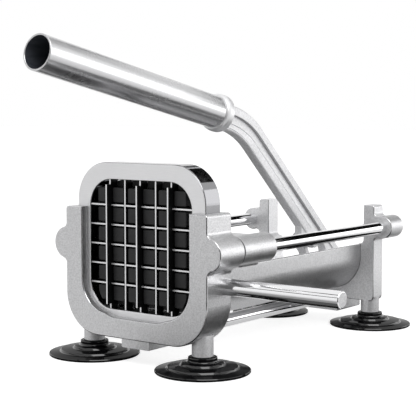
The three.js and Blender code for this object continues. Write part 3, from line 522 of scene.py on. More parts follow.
def paint(piece, material, chosen):
    """Gives the faces that chosen() picks, by their normal and centre, another material."""
    piece.data.materials.append(material)
    for face in piece.data.polygons:
        if chosen(face.normal, face.center):
            face.material_index = len(piece.data.materials) - 1


def settle(piece, name, body, slot, material, *nodes):
    """Puts a finished mesh into the row frame, gives it a material and hides the nodes it takes the place
    of.
    """
    piece.name = name
    piece.data.name = name
    piece.data.transform(TO_ROW_FRAME)
    for face in piece.data.polygons:
        face.use_smooth = True
    mark_sharp_edges(piece)
    piece.data.materials.clear()
    piece.data.materials.append(material)
    weight = piece.modifiers.new("normals", "WEIGHTED_NORMAL")
    weight.keep_sharp = True
    weight.weight = NORMAL_WEIGHT
    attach(piece, body)
    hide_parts(*nodes)


# Materials

def principled(name, colour, roughness):
    material = bpy.data.materials.new(name)
    material.use_nodes = True
    shader = material.node_tree.nodes["Principled BSDF"]
    shader.inputs["Base Color"].default_value = (*colour, 1)
    shader.inputs["Roughness"].default_value = roughness
    return material, shader


class Finish:
    """A Principled material that is built from nodes, with places in millimetres."""

    def __init__(self, name, colour, roughness, metallic=0.0):
        self.material, self.shader = principled(name, colour, roughness)
        self.tree = self.material.node_tree
        self.shader.inputs["Metallic"].default_value = metallic
        coordinates = self.node("ShaderNodeTexCoord")
        self.place = self.node("ShaderNodeVectorMath", operation="SCALE")
        self.place.inputs["Scale"].default_value = 1 / MM
        self.link(coordinates.outputs["Object"], self.place.inputs[0])

    def node(self, kind, **settings):
        made = self.tree.nodes.new(kind)
        for key, value in settings.items():
            setattr(made, key, value)
        return made

    def link(self, source, target):
        self.tree.links.new(source, target)

    def noise(self, size, detail=3.0, stretch=(1, 1, 1), roughness=0.55, tilt=0.0):
        """Noise whose features are about size millimetres wide, tilted about X and drawn out by stretch."""
        turned = self.node("ShaderNodeVectorRotate", rotation_type="X_AXIS")
        turned.inputs["Angle"].default_value = tilt
        self.link(self.place.outputs[0], turned.inputs["Vector"])
        mapping = self.node("ShaderNodeMapping")
        mapping.inputs["Scale"].default_value = [1 / (size * s) for s in stretch]
        self.link(turned.outputs[0], mapping.inputs["Vector"])
        made = self.node("ShaderNodeTexNoise")
        made.inputs["Scale"].default_value = 1
        made.inputs["Detail"].default_value = detail
        made.inputs["Roughness"].default_value = roughness
        self.link(mapping.outputs["Vector"], made.inputs["Vector"])
        return made.outputs["Fac"]

    def ranged(self, value, low, high, start=0.3, end=0.7):
        """A value from start to end, mapped on low to high."""
        made = self.node("ShaderNodeMapRange")
        for key, number in (("From Min", start), ("From Max", end), ("To Min", low), ("To Max", high)):
            made.inputs[key].default_value = number
        self.link(value, made.inputs["Value"])
        return made.outputs["Result"]

    def tint(self, value, dark, light, start=0.3, end=0.7):
        """The base colour from dark, where the value is at start, to light, where it is at end."""
        made = self.node("ShaderNodeMix", data_type="RGBA")
        made.inputs["A"].default_value = (*dark, 1)
        made.inputs["B"].default_value = (*light, 1)
        self.link(self.ranged(value, 0, 1, start, end), made.inputs["Factor"])
        self.link(made.outputs["Result"], self.shader.inputs["Base Color"])

    def rough(self, value, low, high):
        """The roughness between low and high, by a value."""
        self.link(self.ranged(value, low, high), self.shader.inputs["Roughness"])

    def relief(self, value, depth):
        """Adds a relief of the given depth in millimetres, and returns the material, now finished."""
        made = self.node("ShaderNodeBump")
        made.inputs["Strength"].default_value = 1
        made.inputs["Distance"].default_value = depth * MM
        self.link(value, made.inputs["Height"])
        self.link(made.outputs["Normal"], self.shader.inputs["Normal"])
        return self.material


# How much lighter and darker the grain of a casting is, how blue, from which to which noise value, and
# how far its roughness spreads
CAST_CONTRAST = 0.12
CAST_BLUE = 1.015
CAST_GRAIN = (0.36, 0.64)
CAST_SPREAD = 0.04


def cast_aluminium(name, shade, metallic, roughness, depth):
    """Blasted casting: satin, with a grain that is seen as fine light and dark specks."""
    made = Finish(name, (shade, shade, shade), roughness, metallic)
    grain = made.noise(1.1, 2, roughness=0.75)
    dark, light = shade * (1 - CAST_CONTRAST), shade * (1 + CAST_CONTRAST)
    made.tint(grain, (dark, dark, dark * CAST_BLUE), (light, light, light * CAST_BLUE), *CAST_GRAIN)
    made.rough(made.noise(9, 4), roughness - CAST_SPREAD, roughness + CAST_SPREAD)
    return made.relief(grain, depth)


def polished_edge():
    """Edges that handling has rubbed smooth."""
    made = Finish("polished_edge", (0.62, 0.62, 0.63), 0.15, 0.95)
    rubbed = made.noise(2.5, 3)
    made.tint(rubbed, (0.57, 0.57, 0.58), (0.67, 0.67, 0.68))
    made.rough(rubbed, 0.12, 0.22)
    return made.relief(made.noise(1.1, 2), 0.01)


def machined_aluminium():
    made = Finish("machined_aluminium", (0.82, 0.82, 0.83), 0.4, 0.7)
    lay = made.noise(0.5, 2, (14, 1, 1))
    made.tint(lay, (0.81, 0.81, 0.82), (0.84, 0.84, 0.85))
    made.rough(made.noise(12, 3), 0.38, 0.44)
    return made.relief(lay, 0.0006)


def polished_steel():
    made = Finish("polished_steel", (0.86, 0.86, 0.87), 0.08, 1)
    made.rough(made.noise(6, 4), 0.05, 0.1)
    return made.relief(made.noise(0.5, 2, (1, 12, 1)), 0.0006)


def brushed_steel():
    made = Finish("brushed_steel", (0.68, 0.68, 0.69), 0.22, 1)
    lines = made.noise(0.6, 2, (1, 60, 1), tilt=GRIP_TILT)
    made.tint(lines, (0.64, 0.64, 0.65), (0.68, 0.68, 0.69))
    made.rough(made.noise(10, 3), 0.25, 0.28)
    return made.relief(lines, 0.0002)


# Polished, with its colour darkened as painted shade for the dark reflections on the frame's sides.
def polished_rim_painted_shade():
    made = Finish("polished_rim_painted_shade", (0.3, 0.3, 0.31), 0.08, 1)
    made.rough(made.noise(8, 3), 0.06, 0.1)
    return made.relief(made.noise(0.6, 2, (14, 1, 14)), 0.0005)


def blade_steel():
    """Steel whose sides are painted near black as painted shade, told apart from its bright front and rear
    edges by where the surface faces.
    """
    made = Finish("blade_steel", (0.85, 0.85, 0.86), 0.25, 0.8)
    facing = made.node("ShaderNodeSeparateXYZ")
    coordinates = made.node("ShaderNodeTexCoord")
    made.link(coordinates.outputs["Normal"], facing.inputs[0])
    painted_shade_by_facing = made.node("ShaderNodeMath", operation="ABSOLUTE")
    made.link(facing.outputs["Y"], painted_shade_by_facing.inputs[0])
    # Painted shade: near black on the sides, the steel's own colour on faces towards the front or rear.
    made.tint(painted_shade_by_facing.outputs[0], (0.02, 0.02, 0.021), (0.86, 0.86, 0.87), 0.1, 0.6)
    lines = made.noise(0.8, 2, (1, 30, 1))
    made.rough(lines, 0.34, 0.42)
    return made.relief(lines, 0.0002)


# Painted shade: the inside of the grip tube is painted dark, where shade falls in the bore.
def tube_inside_painted_shade():
    made = Finish("tube_inside_painted_shade", (0.1, 0.11, 0.13), 0.5, 0.6)
    streaks = made.noise(1.5, 3, (1, 20, 1))
    made.tint(streaks, (0.08, 0.09, 0.11), (0.13, 0.14, 0.16))
    made.rough(streaks, 0.45, 0.6)
    return made.relief(streaks, 0.01)


def seam_painted_shade():
    """Painted shade: a dark band at the seam between a sleeve and the part it meets, where shade falls."""
    made = Finish("seam_painted_shade", (0.06, 0.06, 0.065), 0.6)
    grain = made.noise(0.7, 3)
    made.tint(grain, (0.04, 0.04, 0.045), (0.1, 0.1, 0.105))
    made.rough(grain, 0.5, 0.7)
    return made.relief(grain, 0.02)


def screw_steel():
    made = Finish("screw_steel", (0.45, 0.45, 0.46), 0.3, 1)
    grain = made.noise(0.8, 3)
    made.tint(grain, (0.4, 0.4, 0.41), (0.52, 0.52, 0.53))
    made.rough(grain, 0.25, 0.4)
    return made.relief(grain, 0.01)


def black_rubber(name, refraction):
    """Glossy black. The lower its index of refraction is, the less sheen it has where it is seen flat."""
    made = Finish(name, (0.004, 0.004, 0.0045), 0.12)
    made.shader.inputs["IOR"].default_value = refraction
    cloud = made.noise(7, 4)
    made.tint(cloud, (0.003, 0.003, 0.0035), (0.006, 0.006, 0.0065))
    made.rough(made.noise(5, 4), 0.06, 0.1)
    return made.relief(made.noise(3, 2), 0.001)


def black_plastic():
    made = Finish("black_plastic", (0.014, 0.014, 0.015), 0.42)
    made.shader.inputs["Specular IOR Level"].default_value = 0.35
    grain = made.noise(0.5, 2)
    made.tint(made.noise(8, 3), (0.012, 0.012, 0.013), (0.022, 0.022, 0.023))
    made.rough(grain, 0.36, 0.5)
    return made.relief(grain, 0.02)


def bush_plastic():
    made = Finish("bush_plastic", (0.75, 0.72, 0.64), 0.5)
    grain = made.noise(1.2, 3)
    made.tint(grain, (0.7, 0.67, 0.6), (0.78, 0.75, 0.68))
    made.rough(grain, 0.42, 0.58)
    return made.relief(grain, 0.01)


CAST = cast_aluminium("cast_aluminium", 0.61, 0.9, 0.38, 0.1)
# Painted light: a lighter copy of the cast aluminium, for parts that stand in shade.
PAINTED_LIGHT_CAST = cast_aluminium("painted_light_cast_aluminium", 0.76, 0.5, 0.42, 0.08)
LEVER = cast_aluminium("lever_aluminium", 0.75, 0.4, 0.42, 0.02)
EDGE = polished_edge()
MACHINED = machined_aluminium()
POLISHED = polished_steel()
BRUSHED = brushed_steel()
SHADED_RIM = polished_rim_painted_shade()
BORE_SHADE = tube_inside_painted_shade()
SEAM_SHADE = seam_painted_shade()
SHADED_BLADE = blade_steel()
SCREW = screw_steel()
RUBBER = black_rubber("black_rubber", 1.07)
RUBBER_EDGE = black_rubber("black_rubber_edge", 1.6)
PLASTIC = black_plastic()
BUSH = bush_plastic()


# Front casting and rear plate

def leg_pair(y):
    profile = [(0, LEG_BOTTOM), (LEG_RADIUS, LEG_BOTTOM), (LEG_RADIUS, LEG_TOP), (0, LEG_TOP)]
    return [lathe(profile, "Z", (side * LEG_X, y, 0)) for side in (-1, 1)]


def rod_bores(radius, low, high):
    return [prism(disc(side * ROD_X, ROD_Z, radius), "Y", low, high) for side in (-1, 1)]


def rod_bosses(radius, low, high, low_edge, high_edge):
    return [rounded_prism(disc(side * ROD_X, ROD_Z, radius), "Y", low, high, low_edge, high_edge)
            for side in (-1, 1)]


def machine_place(centre):
    """A place in the row frame, told in millimetres in the machine's own frame."""
    return (centre - ORIGIN) / MM


def on_rounding(normal):
    """True where a face turns from the side of a piece to its front or rear."""
    least, most = EDGE_LEAN
    return least < abs(normal.y) < most


def on_casting_edge(normal, centre):
    """True on the rounded edges of a casting, but not on its round legs."""
    on_leg = abs(normal.z) < UPRIGHT_LEAN and centre.z < LEG_TOP * MM
    return on_rounding(normal) and not on_leg


def on_front_leg(normal, centre):
    place = machine_place(centre)
    reach = math.hypot(abs(place.x) - LEG_X, place.y - CASTING_MIDDLE)
    return reach < LEG_RADIUS + SNUG and place.z < LEG_TOP


def on_ear(normal, centre):
    """True on the round side of an ear, but not in its bore."""
    place = machine_place(centre)
    reach = math.hypot(abs(place.x) - ROD_X, place.z - ROD_Z)
    return ROD_RADIUS + EAR_BORE_RIM < reach < EAR_RADIUS + SNUG and abs(normal.y) < EDGE_LEAN[0]


def on_groove_edge(normal, centre):
    """True on the rounding round the trough's groove in the rear plate."""
    place = machine_place(centre)
    beside_trough = abs(place.x) < TROUGH_HALF + OVERRUN
    level_with_trough = TROUGH_BOTTOM - OVERRUN < place.z < TROUGH_RIM + OVERRUN
    return on_rounding(normal) and beside_trough and level_with_trough


def front_casting():
    rear_mouth = mouth_half(TROUGH_INNER_HALF, CASTING_TOP, TROUGH_INNER_BOTTOM, TROUGH_INNER_CORNER)
    outline = eared_outline(CASTING_HALF, CASTING_BOTTOM, CASTING_TOP, CASTING_CORNER,
                            CASTING_TOP_RADIUS, BOSS_RADIUS, BOSS_FILLET, rear_mouth)
    body = rounded_prism(outline, "Y", 0, CASTING_DEPTH, CASTING_EDGE, CASTING_REAR_EDGE)
    tab_shape = rounded_rectangle(TAB_HALF, TAB_BOTTOM, CASTING_BOTTOM + OVERRUN, TAB_CORNER)
    tab = prism(tab_shape, "Y", TAB_FRONT, CASTING_DEPTH - SEAT_GAP)
    join(body, tab, *leg_pair(CASTING_MIDDLE))
    above = CASTING_TOP + OVERRUN
    behind = CASTING_DEPTH + OVERRUN
    mouth_shape = rounded_rectangle(MOUTH_HALF, MOUTH_BOTTOM, above, MOUTH_CORNER, OVERRUN)
    front_mouth = mouth_cutter(mouth_shape, "Y", 0, -OVERRUN, FRAME_FRONT, CASTING_EDGE)
    slot_shape = rounded_rectangle(FRAME_HALF + SEAT_GAP, GRID_Z - FRAME_HALF - SEAT_GAP, above,
                                   FRAME_CORNER + SEAT_GAP, OVERRUN)
    slot = prism(slot_shape, "Y", FRAME_FRONT - SEAT_GAP, FRAME_REAR + SEAT_GAP)
    groove = prism(trough_outline(SNUG, TROUGH_EDGE), "Y", CASTING_DEPTH - GROOVE - SEAT_GAP, behind)
    bores = rod_bores(ROD_RADIUS + SNUG, ROD_FRONT - SEAT_GAP, behind)
    carve(body, front_mouth, slot, groove, *bores)
    settle(body, "front_casting_shaped", "frame", "cast_aluminium", CAST, "front_casting")
    paint(body, EDGE, on_casting_edge)
    # Painted light: the front legs get the lighter copy of the casting's material.
    paint(body, PAINTED_LIGHT_CAST, on_front_leg)


def rear_plate():
    mouth = [
        (PLATE_MOUTH_HALF, PLATE_TOP),
        *arc(PLATE_MOUTH_HALF - PLATE_MOUTH_RADIUS, PLATE_MOUTH_STEP, PLATE_MOUTH_RADIUS, 0, -math.pi / 2),
        *mouth_half(TROUGH_INNER_HALF, TROUGH_RIM, TROUGH_INNER_BOTTOM, TROUGH_INNER_CORNER),
    ]
    outline = eared_outline(PLATE_HALF, PLATE_BOTTOM, PLATE_TOP, PLATE_CORNER,
                            PLATE_TOP_RADIUS, EAR_RADIUS, EAR_FILLET, mouth)
    body = rounded_prism(outline, "Y", PLATE_FRONT, PLATE_REAR, PLATE_EDGE, PLATE_EDGE)
    ears = rod_bosses(EAR_RADIUS, PLATE_MIDDLE, EAR_END, 0, PLATE_EDGE)
    join(body, *ears, *leg_pair(PLATE_MIDDLE))
    groove = mouth_cutter(trough_outline(SNUG, TROUGH_EDGE), "Y", PLATE_FRONT, PLATE_FRONT - OVERRUN,
                          PLATE_FRONT + GROOVE + SEAT_GAP, GROOVE_EDGE)
    carve(body, groove, *rod_bores(ROD_RADIUS + SNUG, PLATE_FRONT - OVERRUN, ROD_REAR + SEAT_GAP))
    # Painted light: the rear plate is the lighter copy of the cast, against the shade it stands in; its
    # ears keep the plain cast.
    settle(body, "rear_plate_shaped", "frame", "cast_aluminium", PAINTED_LIGHT_CAST, "rear_plate")
    paint(body, EDGE, on_casting_edge)
    paint(body, CAST, on_ear)
    # Painted highlight: the rounding round the trough's groove gets the paler lever material, to show as a
    # light line.
    paint(body, LEVER, on_groove_edge)


def trough():
    body = prism(trough_outline(0, TROUGH_EDGE), "Y", CASTING_DEPTH - GROOVE, PLATE_FRONT + GROOVE)
    settle(body, "trough_shaped", "frame", "cast_aluminium", CAST, "trough")
    rim = (TROUGH_RIM - TROUGH_EDGE) * MM
    paint(body, EDGE, lambda normal, centre: centre.z > rim and abs(normal.y) < TROUGH_LEAN)


# The frame that holds the grid

def cell_places(count):
    """Places a cell apart, with their middle at zero."""
    return [(i - (count - 1) / 2) * CELL for i in range(count)]


def blade_frame():
    body = rounded_prism(square_on_grid(FRAME_HALF, FRAME_CORNER), "Y",
                         FRAME_FRONT, FRAME_REAR, FRAME_EDGE, FRAME_EDGE)
    opening = mouth_cutter(square_on_grid(FRAME_INNER, FRAME_INNER_CORNER), "Y",
                           FRAME_FRONT, FRAME_FRONT - OVERRUN, FRAME_REAR + OVERRUN, FRAME_EDGE)
    carve(body, opening)
    reach = FRAME_INNER + BLADE_TAB + SEAT_GAP
    half = BLADE_HALF + SEAT_GAP
    low, high = FRAME_FRONT + FRAME_SKIN, BLADE_REAR + SEAT_GAP
    uprights = [prism(rectangle(p - half, GRID_Z - reach, p + half, GRID_Z + reach), "Y", low, high)
                for p in cell_places(CELLS - 1)]
    levels = [prism(rectangle(-reach, GRID_Z + p - half, reach, GRID_Z + p + half), "Y", low, high)
              for p in cell_places(CELLS - 1)]
    carve(body, beside(uprights), beside(levels))
    settle(body, "blade_frame_shaped", "frame", "machined_aluminium", MACHINED, "blade_frame")
    # Painted shade: the frame's sides get the darkened rim material.
    paint(body, SHADED_RIM, lambda normal, centre: abs(normal.y) < FRAME_LEAN)


# Rods and bars

def rod_profile(radius, low, high, chamfer):
    return [(0, low), (radius - chamfer, low), (radius, low + chamfer), (radius, high - chamfer),
            (radius - chamfer, high), (0, high)]


def guide_rods():
    profile = rod_profile(ROD_RADIUS, ROD_FRONT, ROD_REAR, ROD_CHAMFER)
    for side, hand in HANDS:
        rod = lathe(profile, "Y", (side * ROD_X, 0, ROD_Z), FINE_STEPS)
        settle(rod, "guide_rod_turned_" + hand, "frame", "polished_steel", POLISHED, "guide_rod_" + hand)


def side_bar():
    bar = rounded_prism(disc(SIDE_BAR_Y, SIDE_BAR_Z, SIDE_BAR_RADIUS), "X",
                        CASTING_HALF - SEAT_GAP, SIDE_BAR_END, 0, BAR_CHAMFER)
    settle(bar, "side_bar_turned", "frame", "polished_steel", POLISHED, "side_bar")
    paint(bar, CAST, lambda normal, centre: normal.x > BAR_END_LEAN)


def tie_rod():
    low, high = CASTING_DEPTH + SEAT_GAP, BRACKET_FRONT - SEAT_GAP
    tie = lathe(rod_profile(TIE_ROD_RADIUS, low, high, TIE_ROD_CHAMFER), "Y", (0, 0, TIE_ROD_Z))
    settle(tie, "tie_rod_turned", "frame", "polished_steel", POLISHED, "tie_rod")


# Suction feet

# Radius and height of the hollow under the foot, the rim, the steps up to the neck and its socket
FOOT_PROFILE = [
    (0, 2.2), (19, 1.7), (26, 0.0), (29.6, 0.0), (30, 0.5), (30, 1.3), (29.7, 1.7), (29.1, 1.8),
    (23.2, 2.5), (22.6, 2.8), (22.3, 3.5), (21.9, 3.9), (21.2, 4.0),
    (14.6, 4.4), (14.0, 4.7), (13.6, 5.6), (13.1, 6.0), (12.4, 6.1),
    (10.4, 6.4), (9.6, 6.9), (9.2, 7.6), (9.2, 9.0), (9.0, 9.5), (8.5, 9.7),
    (7.4, 9.7), (7.0, 9.4), (7.0, 8.6), (4.3, 8.6), (4.3, 4.3), (0, 4.3),
]


def suction_feet():
    least, most = FOOT_LEAN
    for side, hand in HANDS:
        for y, end in ((CASTING_MIDDLE, "front"), (PLATE_MIDDLE, "rear")):
            foot = lathe(FOOT_PROFILE, "Z", (side * LEG_X, y, 0), FINE_STEPS)
            settle(foot, f"suction_foot_moulded_{end}_{hand}", "frame", "black_rubber", RUBBER,
                   f"suction_foot_{end}_{hand}")
            paint(foot, RUBBER_EDGE, lambda normal, centre: least < normal.z < most)


# Carriage

def crosshead():
    body = rounded_prism(rounded_rectangle(ROD_X, BEAM_BOTTOM, BEAM_TOP, BEAM_CORNER), "Y",
                         BEAM_FRONT, BEAM_REAR, BEAM_EDGE, BEAM_EDGE)
    sleeves = rod_bosses(SLEEVE_RADIUS, SLEEVE_FRONT, SLEEVE_REAR, SLEEVE_FRONT_EDGE, SLEEVE_EDGE)
    lug = plate_across(rectangle(LUG_FRONT, DRIVE_Z - DRAWBAR_HALF, LUG_REAR, DRIVE_Z + DRAWBAR_HALF),
                       LUG_HALF, SLEEVE_EDGE)
    join(body, *sleeves, lug)
    carve(body, *rod_bores(BUSH_RADIUS + SEAT_GAP, SLEEVE_FRONT - OVERRUN, SLEEVE_REAR + OVERRUN))
    settle(body, "crosshead_shaped", "carriage", "cast_aluminium", CAST, "crosshead")
    # Painted shade: the front end of each sleeve, in the seam, is painted near black.
    seam_shade_end = ORIGIN.y + (SLEEVE_FRONT + SEAM_SHADE_DEPTH) * MM
    paint(body, SEAM_SHADE, lambda normal, centre: centre.y < seam_shade_end)


def pusher_block():
    half = FRAME_INNER - PUSHER_GAP
    body = prism(rectangle(-half, GRID_Z - half, half, GRID_Z + half), "Y", PUSHER_BASE, PUSHER_REAR)
    face = rounded_rectangle(STUD / 2, -STUD / 2, STUD / 2, STUD_CORNER)
    places = cell_places(CELLS)
    root = PUSHER_BASE + OVERRUN
    studs = [rounded_prism(moved(face, x, GRID_Z + z), "Y", PUSHER_FRONT, root, STUD_EDGE, 0)
             for x in places for z in places]
    join(body, beside(studs))
    low, high = PUSHER_FRONT - OVERRUN, PUSHER_REAR + OVERRUN
    in_frame = square_on_grid(half, FRAME_INNER_CORNER - PUSHER_GAP)
    in_trough = rounded_rectangle(TROUGH_INNER_HALF - PUSHER_GAP, TROUGH_INNER_BOTTOM + PUSHER_GAP,
                                  GRID_Z + half + OVERRUN, TROUGH_INNER_CORNER - PUSHER_GAP, OVERRUN)
    trim(body, prism(in_frame, "Y", low, high), prism(in_trough, "Y", low, high))
    settle(body, "pusher_block_moulded", "carriage", "black_plastic", PLASTIC, "pusher_block")


def drawbars():
    meet = math.asin(DRAWBAR_HALF / DRAWBAR_EYE)
    outline = [
        (BEAM_REAR + SEAT_GAP, DRIVE_Z - DRAWBAR_HALF),
        *arc(DRIVE_Y, DRIVE_Z, DRAWBAR_EYE, meet - math.pi, math.pi - meet),
        (BEAM_REAR + SEAT_GAP, DRIVE_Z + DRAWBAR_HALF),
    ]
    for side, hand in HANDS:
        low, high = sorted((side * DRAWBAR_INNER, side * DRAWBAR_OUTER))
        bar = rounded_prism(outline, "X", low, high, DRAWBAR_EDGE, DRAWBAR_EDGE)
        settle(bar, "drawbar_rounded_" + hand, "carriage", "brushed_steel", BRUSHED, "drawbar_" + hand)


# Lever

def arm_section(rear):
    """The arm's section as (x, depth) pairs, with its grooves. The front flange is at negative depth."""
    front = -ARM_DEPTH
    web = front + FRONT_FLANGE
    valley = rear - REAR_FLANGE
    slope = valley - ARM_SLOPE
    right = [
        (ARM_HALF - ARM_EDGE, front), (ARM_HALF, front + ARM_EDGE), (ARM_HALF, web),
        (ARM_WEB - ARM_GROOVE, web), (ARM_WEB - ARM_GROOVE, web + ARM_GROOVE_WIDTH),
        (ARM_WEB, web + ARM_GROOVE_WIDTH), (ARM_WEB, slope),
        (ARM_MIDDLE - ARM_GROOVE, slope), (ARM_MIDDLE - ARM_GROOVE, slope + ARM_GROOVE_WIDTH),
        (ARM_MIDDLE, slope + ARM_GROOVE_WIDTH), (ARM_VALLEY, valley - ARM_GROOVE_WIDTH),
        (ARM_VALLEY - ARM_GROOVE, valley - ARM_GROOVE_WIDTH), (ARM_VALLEY - ARM_GROOVE, valley),
        (ARM_HALF, valley), (ARM_HALF, rear - ARM_EDGE), (ARM_HALF - ARM_EDGE, rear),
    ]
    left = [(-x, depth) for x, depth in reversed(right)]
    return softened(right + left, ARM_SOFT_EDGE, ARM_SOFT_STEPS)


def arm_stations():
    """Stations down the middle of the arm: y, z, heading below the horizontal and rear depth."""
    turn = ARM_LEAN - GRIP_TILT
    tangent = BEND_RADIUS * math.tan(turn / 2)
    start_y = ARM_CORNER_Y - tangent * math.cos(GRIP_TILT)
    start_z = ARM_CORNER_Z + tangent * math.sin(GRIP_TILT)
    lead = (start_y - GRIP_REAR_Y) / math.cos(GRIP_TILT) - COLLAR_LENGTH - SEAT_GAP
    stations = [(start_y - lead * math.cos(GRIP_TILT), start_z + lead * math.sin(GRIP_TILT), GRIP_TILT,
                 ARM_COLLAR_REAR)]
    for i in range(BEND_STEPS + 1):
        share = i / BEND_STEPS
        heading = GRIP_TILT + turn * share
        stations.append((
            start_y + BEND_RADIUS * (math.sin(heading) - math.sin(GRIP_TILT)),
            start_z - BEND_RADIUS * (math.cos(GRIP_TILT) - math.cos(heading)),
            heading, ARM_COLLAR_REAR + (ARM_DEPTH - ARM_COLLAR_REAR) * share))
    y, z = stations[-1][:2]
    run = (z - ARM_END_Z) / math.sin(ARM_LEAN)
    stations.append((y + run * math.cos(ARM_LEAN), ARM_END_Z, ARM_LEAN, ARM_DEPTH))
    return stations


def arm_sweep():
    vertices = []
    for y, z, heading, rear in arm_stations():
        for x, depth in arm_section(rear):
            vertices.append((x, y + depth * math.sin(heading), z + depth * math.cos(heading)))
    count = len(arm_section(ARM_DEPTH))
    rings = len(vertices) // count
    return new_object("arm", vertices, ring_ends(count, rings) + ring_sides(count, rings))


def pin_track():
    """Where the drive pin goes in the lever while the carriage slides and the lever turns evenly."""
    swing = math.pi - 2 * math.atan2(DRIVE_Z - FULCRUM_Z, STROKE / 2)
    points = []
    for i in range(TRACK_STEPS + 1):
        turn = swing * i / TRACK_STEPS
        y = DRIVE_Y + STROKE * i / TRACK_STEPS - FULCRUM_Y
        z = DRIVE_Z - FULCRUM_Z
        points.append(Vector((FULCRUM_Y + y * math.cos(turn) - z * math.sin(turn),
                              FULCRUM_Z + y * math.sin(turn) + z * math.cos(turn))))
    return points


def slot_outline(reach):
    """The pin's track widened all round, with a round end where it starts and ends."""
    track = pin_track()
    last = len(track) - 1
    headings = []
    for i in range(last + 1):
        step = track[min(i + 1, last)] - track[max(i - 1, 0)]
        headings.append(math.atan2(step.y, step.x))
    outward = -math.pi / 2 if runs_left(track) else math.pi / 2
    points = [(p.x + reach * math.cos(h + outward), p.y + reach * math.sin(h + outward))
              for p, h in zip(track, headings)]
    start = headings[last] + outward
    sweep = (headings[0] - headings[last]) % (2 * math.pi)
    end = start + (sweep if outward < 0 else sweep - 2 * math.pi)
    return points + arc(track[last].x, track[last].y, reach, start, end)[1:-1]


def hull_outline(discs):
    """The outline of a tight band round several discs given as (y, z, radius)."""
    points = sorted({point for y, z, radius in discs for point in disc(y, z, radius)})

    def side(ordered):
        chain = []
        for point in ordered:
            while len(chain) > 1:
                (ax, ay), (bx, by) = chain[-2:]
                if (bx - ax) * (point[1] - ay) - (by - ay) * (point[0] - ax) > 0:
                    break
                chain.pop()
            chain.append(point)
        return chain[:-1]

    return side(points) + side(points[::-1])


def turned_on_grip(profile, steps=ROUND_STEPS):
    """A profile turned about the grip's axis, its heights measured from the grip's rear end."""
    made = lathe(profile, "Y", (0, 0, 0), steps)
    turn = Matrix.Rotation(math.pi - GRIP_TILT, 4, "X")
    made.data.transform(Matrix.Translation((0, GRIP_REAR_Y, GRIP_REAR_Z)) @ turn)
    return made


def lever_arm():
    body = arm_sweep()
    end_y, end_z = arm_stations()[-1][:2]
    lobe = plate_across(hull_outline([
        (DRIVE_Y, DRIVE_Z, DRIVE_HUB), (FULCRUM_Y, FULCRUM_Z, HUB_RADIUS), (end_y, end_z, ARM_DEPTH),
        (DRIVE_Y - DRIVE_HUB + SHOULDER_RADIUS, SHOULDER_Z, SHOULDER_RADIUS),
    ]), LOBE_HALF, ARM_EDGE)
    slot_radius = DRIVE_PIN_RADIUS + SLOT_PLAY
    rim = plate_across(slot_outline(slot_radius + SLOT_WALL), SLOT_RIM_HALF, SLOT_RIM_EDGE)
    hub = plate_across(disc(FULCRUM_Y, FULCRUM_Z, HUB_RADIUS), HUB_HALF, HUB_EDGE)
    shank_start = -COLLAR_LENGTH - SEAT_GAP - SHANK_SHOULDER
    shank = turned_on_grip(rod_profile(SHANK_RADIUS, shank_start, SHANK_REACH, SHANK_CHAMFER))
    join(body, lobe, rim, hub, shank)
    slot = hole_across(slot_outline(slot_radius), ARM_HALF)
    bore = hole_across(disc(FULCRUM_Y, FULCRUM_Z, BUSH_RADIUS + SEAT_GAP), HUB_HALF)
    carve(body, slot, bore)
    settle(body, "lever_arm_shaped", "lever", "cast_aluminium", LEVER, "lever_arm")


def grip():
    inner = GRIP_RADIUS - GRIP_WALL
    wall = softened(rectangle(inner, 0, GRIP_RADIUS, GRIP_LENGTH), GRIP_EDGE)
    tube = turned_on_grip(wall + wall[:1], FINE_STEPS)
    settle(tube, "grip_tube_drawn", "lever", "brushed_steel", BRUSHED, "grip_tube")
    mouth = TO_ROW_FRAME @ Vector((0, GRIP_REAR_Y, GRIP_REAR_Z))
    along = Vector((0, -math.cos(GRIP_TILT), math.sin(GRIP_TILT)))

    def in_bore(normal, centre):
        outward = centre - mouth - along * (centre - mouth).dot(along)
        return normal.dot(outward.normalized()) < BORE_LEAN

    # Painted shade: the faces in the bore get the dark material.
    paint(tube, BORE_SHADE, in_bore)


def collar():
    bore = SHANK_RADIUS + 2 * SEAT_GAP
    ring = softened([
        (bore, -COLLAR_LENGTH), (COLLAR_REAR_RADIUS, -COLLAR_LENGTH),
        (COLLAR_RADIUS, COLLAR_REAR_TAPER - COLLAR_LENGTH), (COLLAR_RADIUS, -COLLAR_GRIP_TAPER),
        (COLLAR_GRIP_RADIUS, -SNUG), (bore, -SNUG),
    ], COLLAR_EDGE)
    made = turned_on_grip(ring + ring[:1], FINE_STEPS)
    settle(made, "grip_collar_turned", "lever", "cast_aluminium", MACHINED, "grip_collar")


# Fulcrum bracket

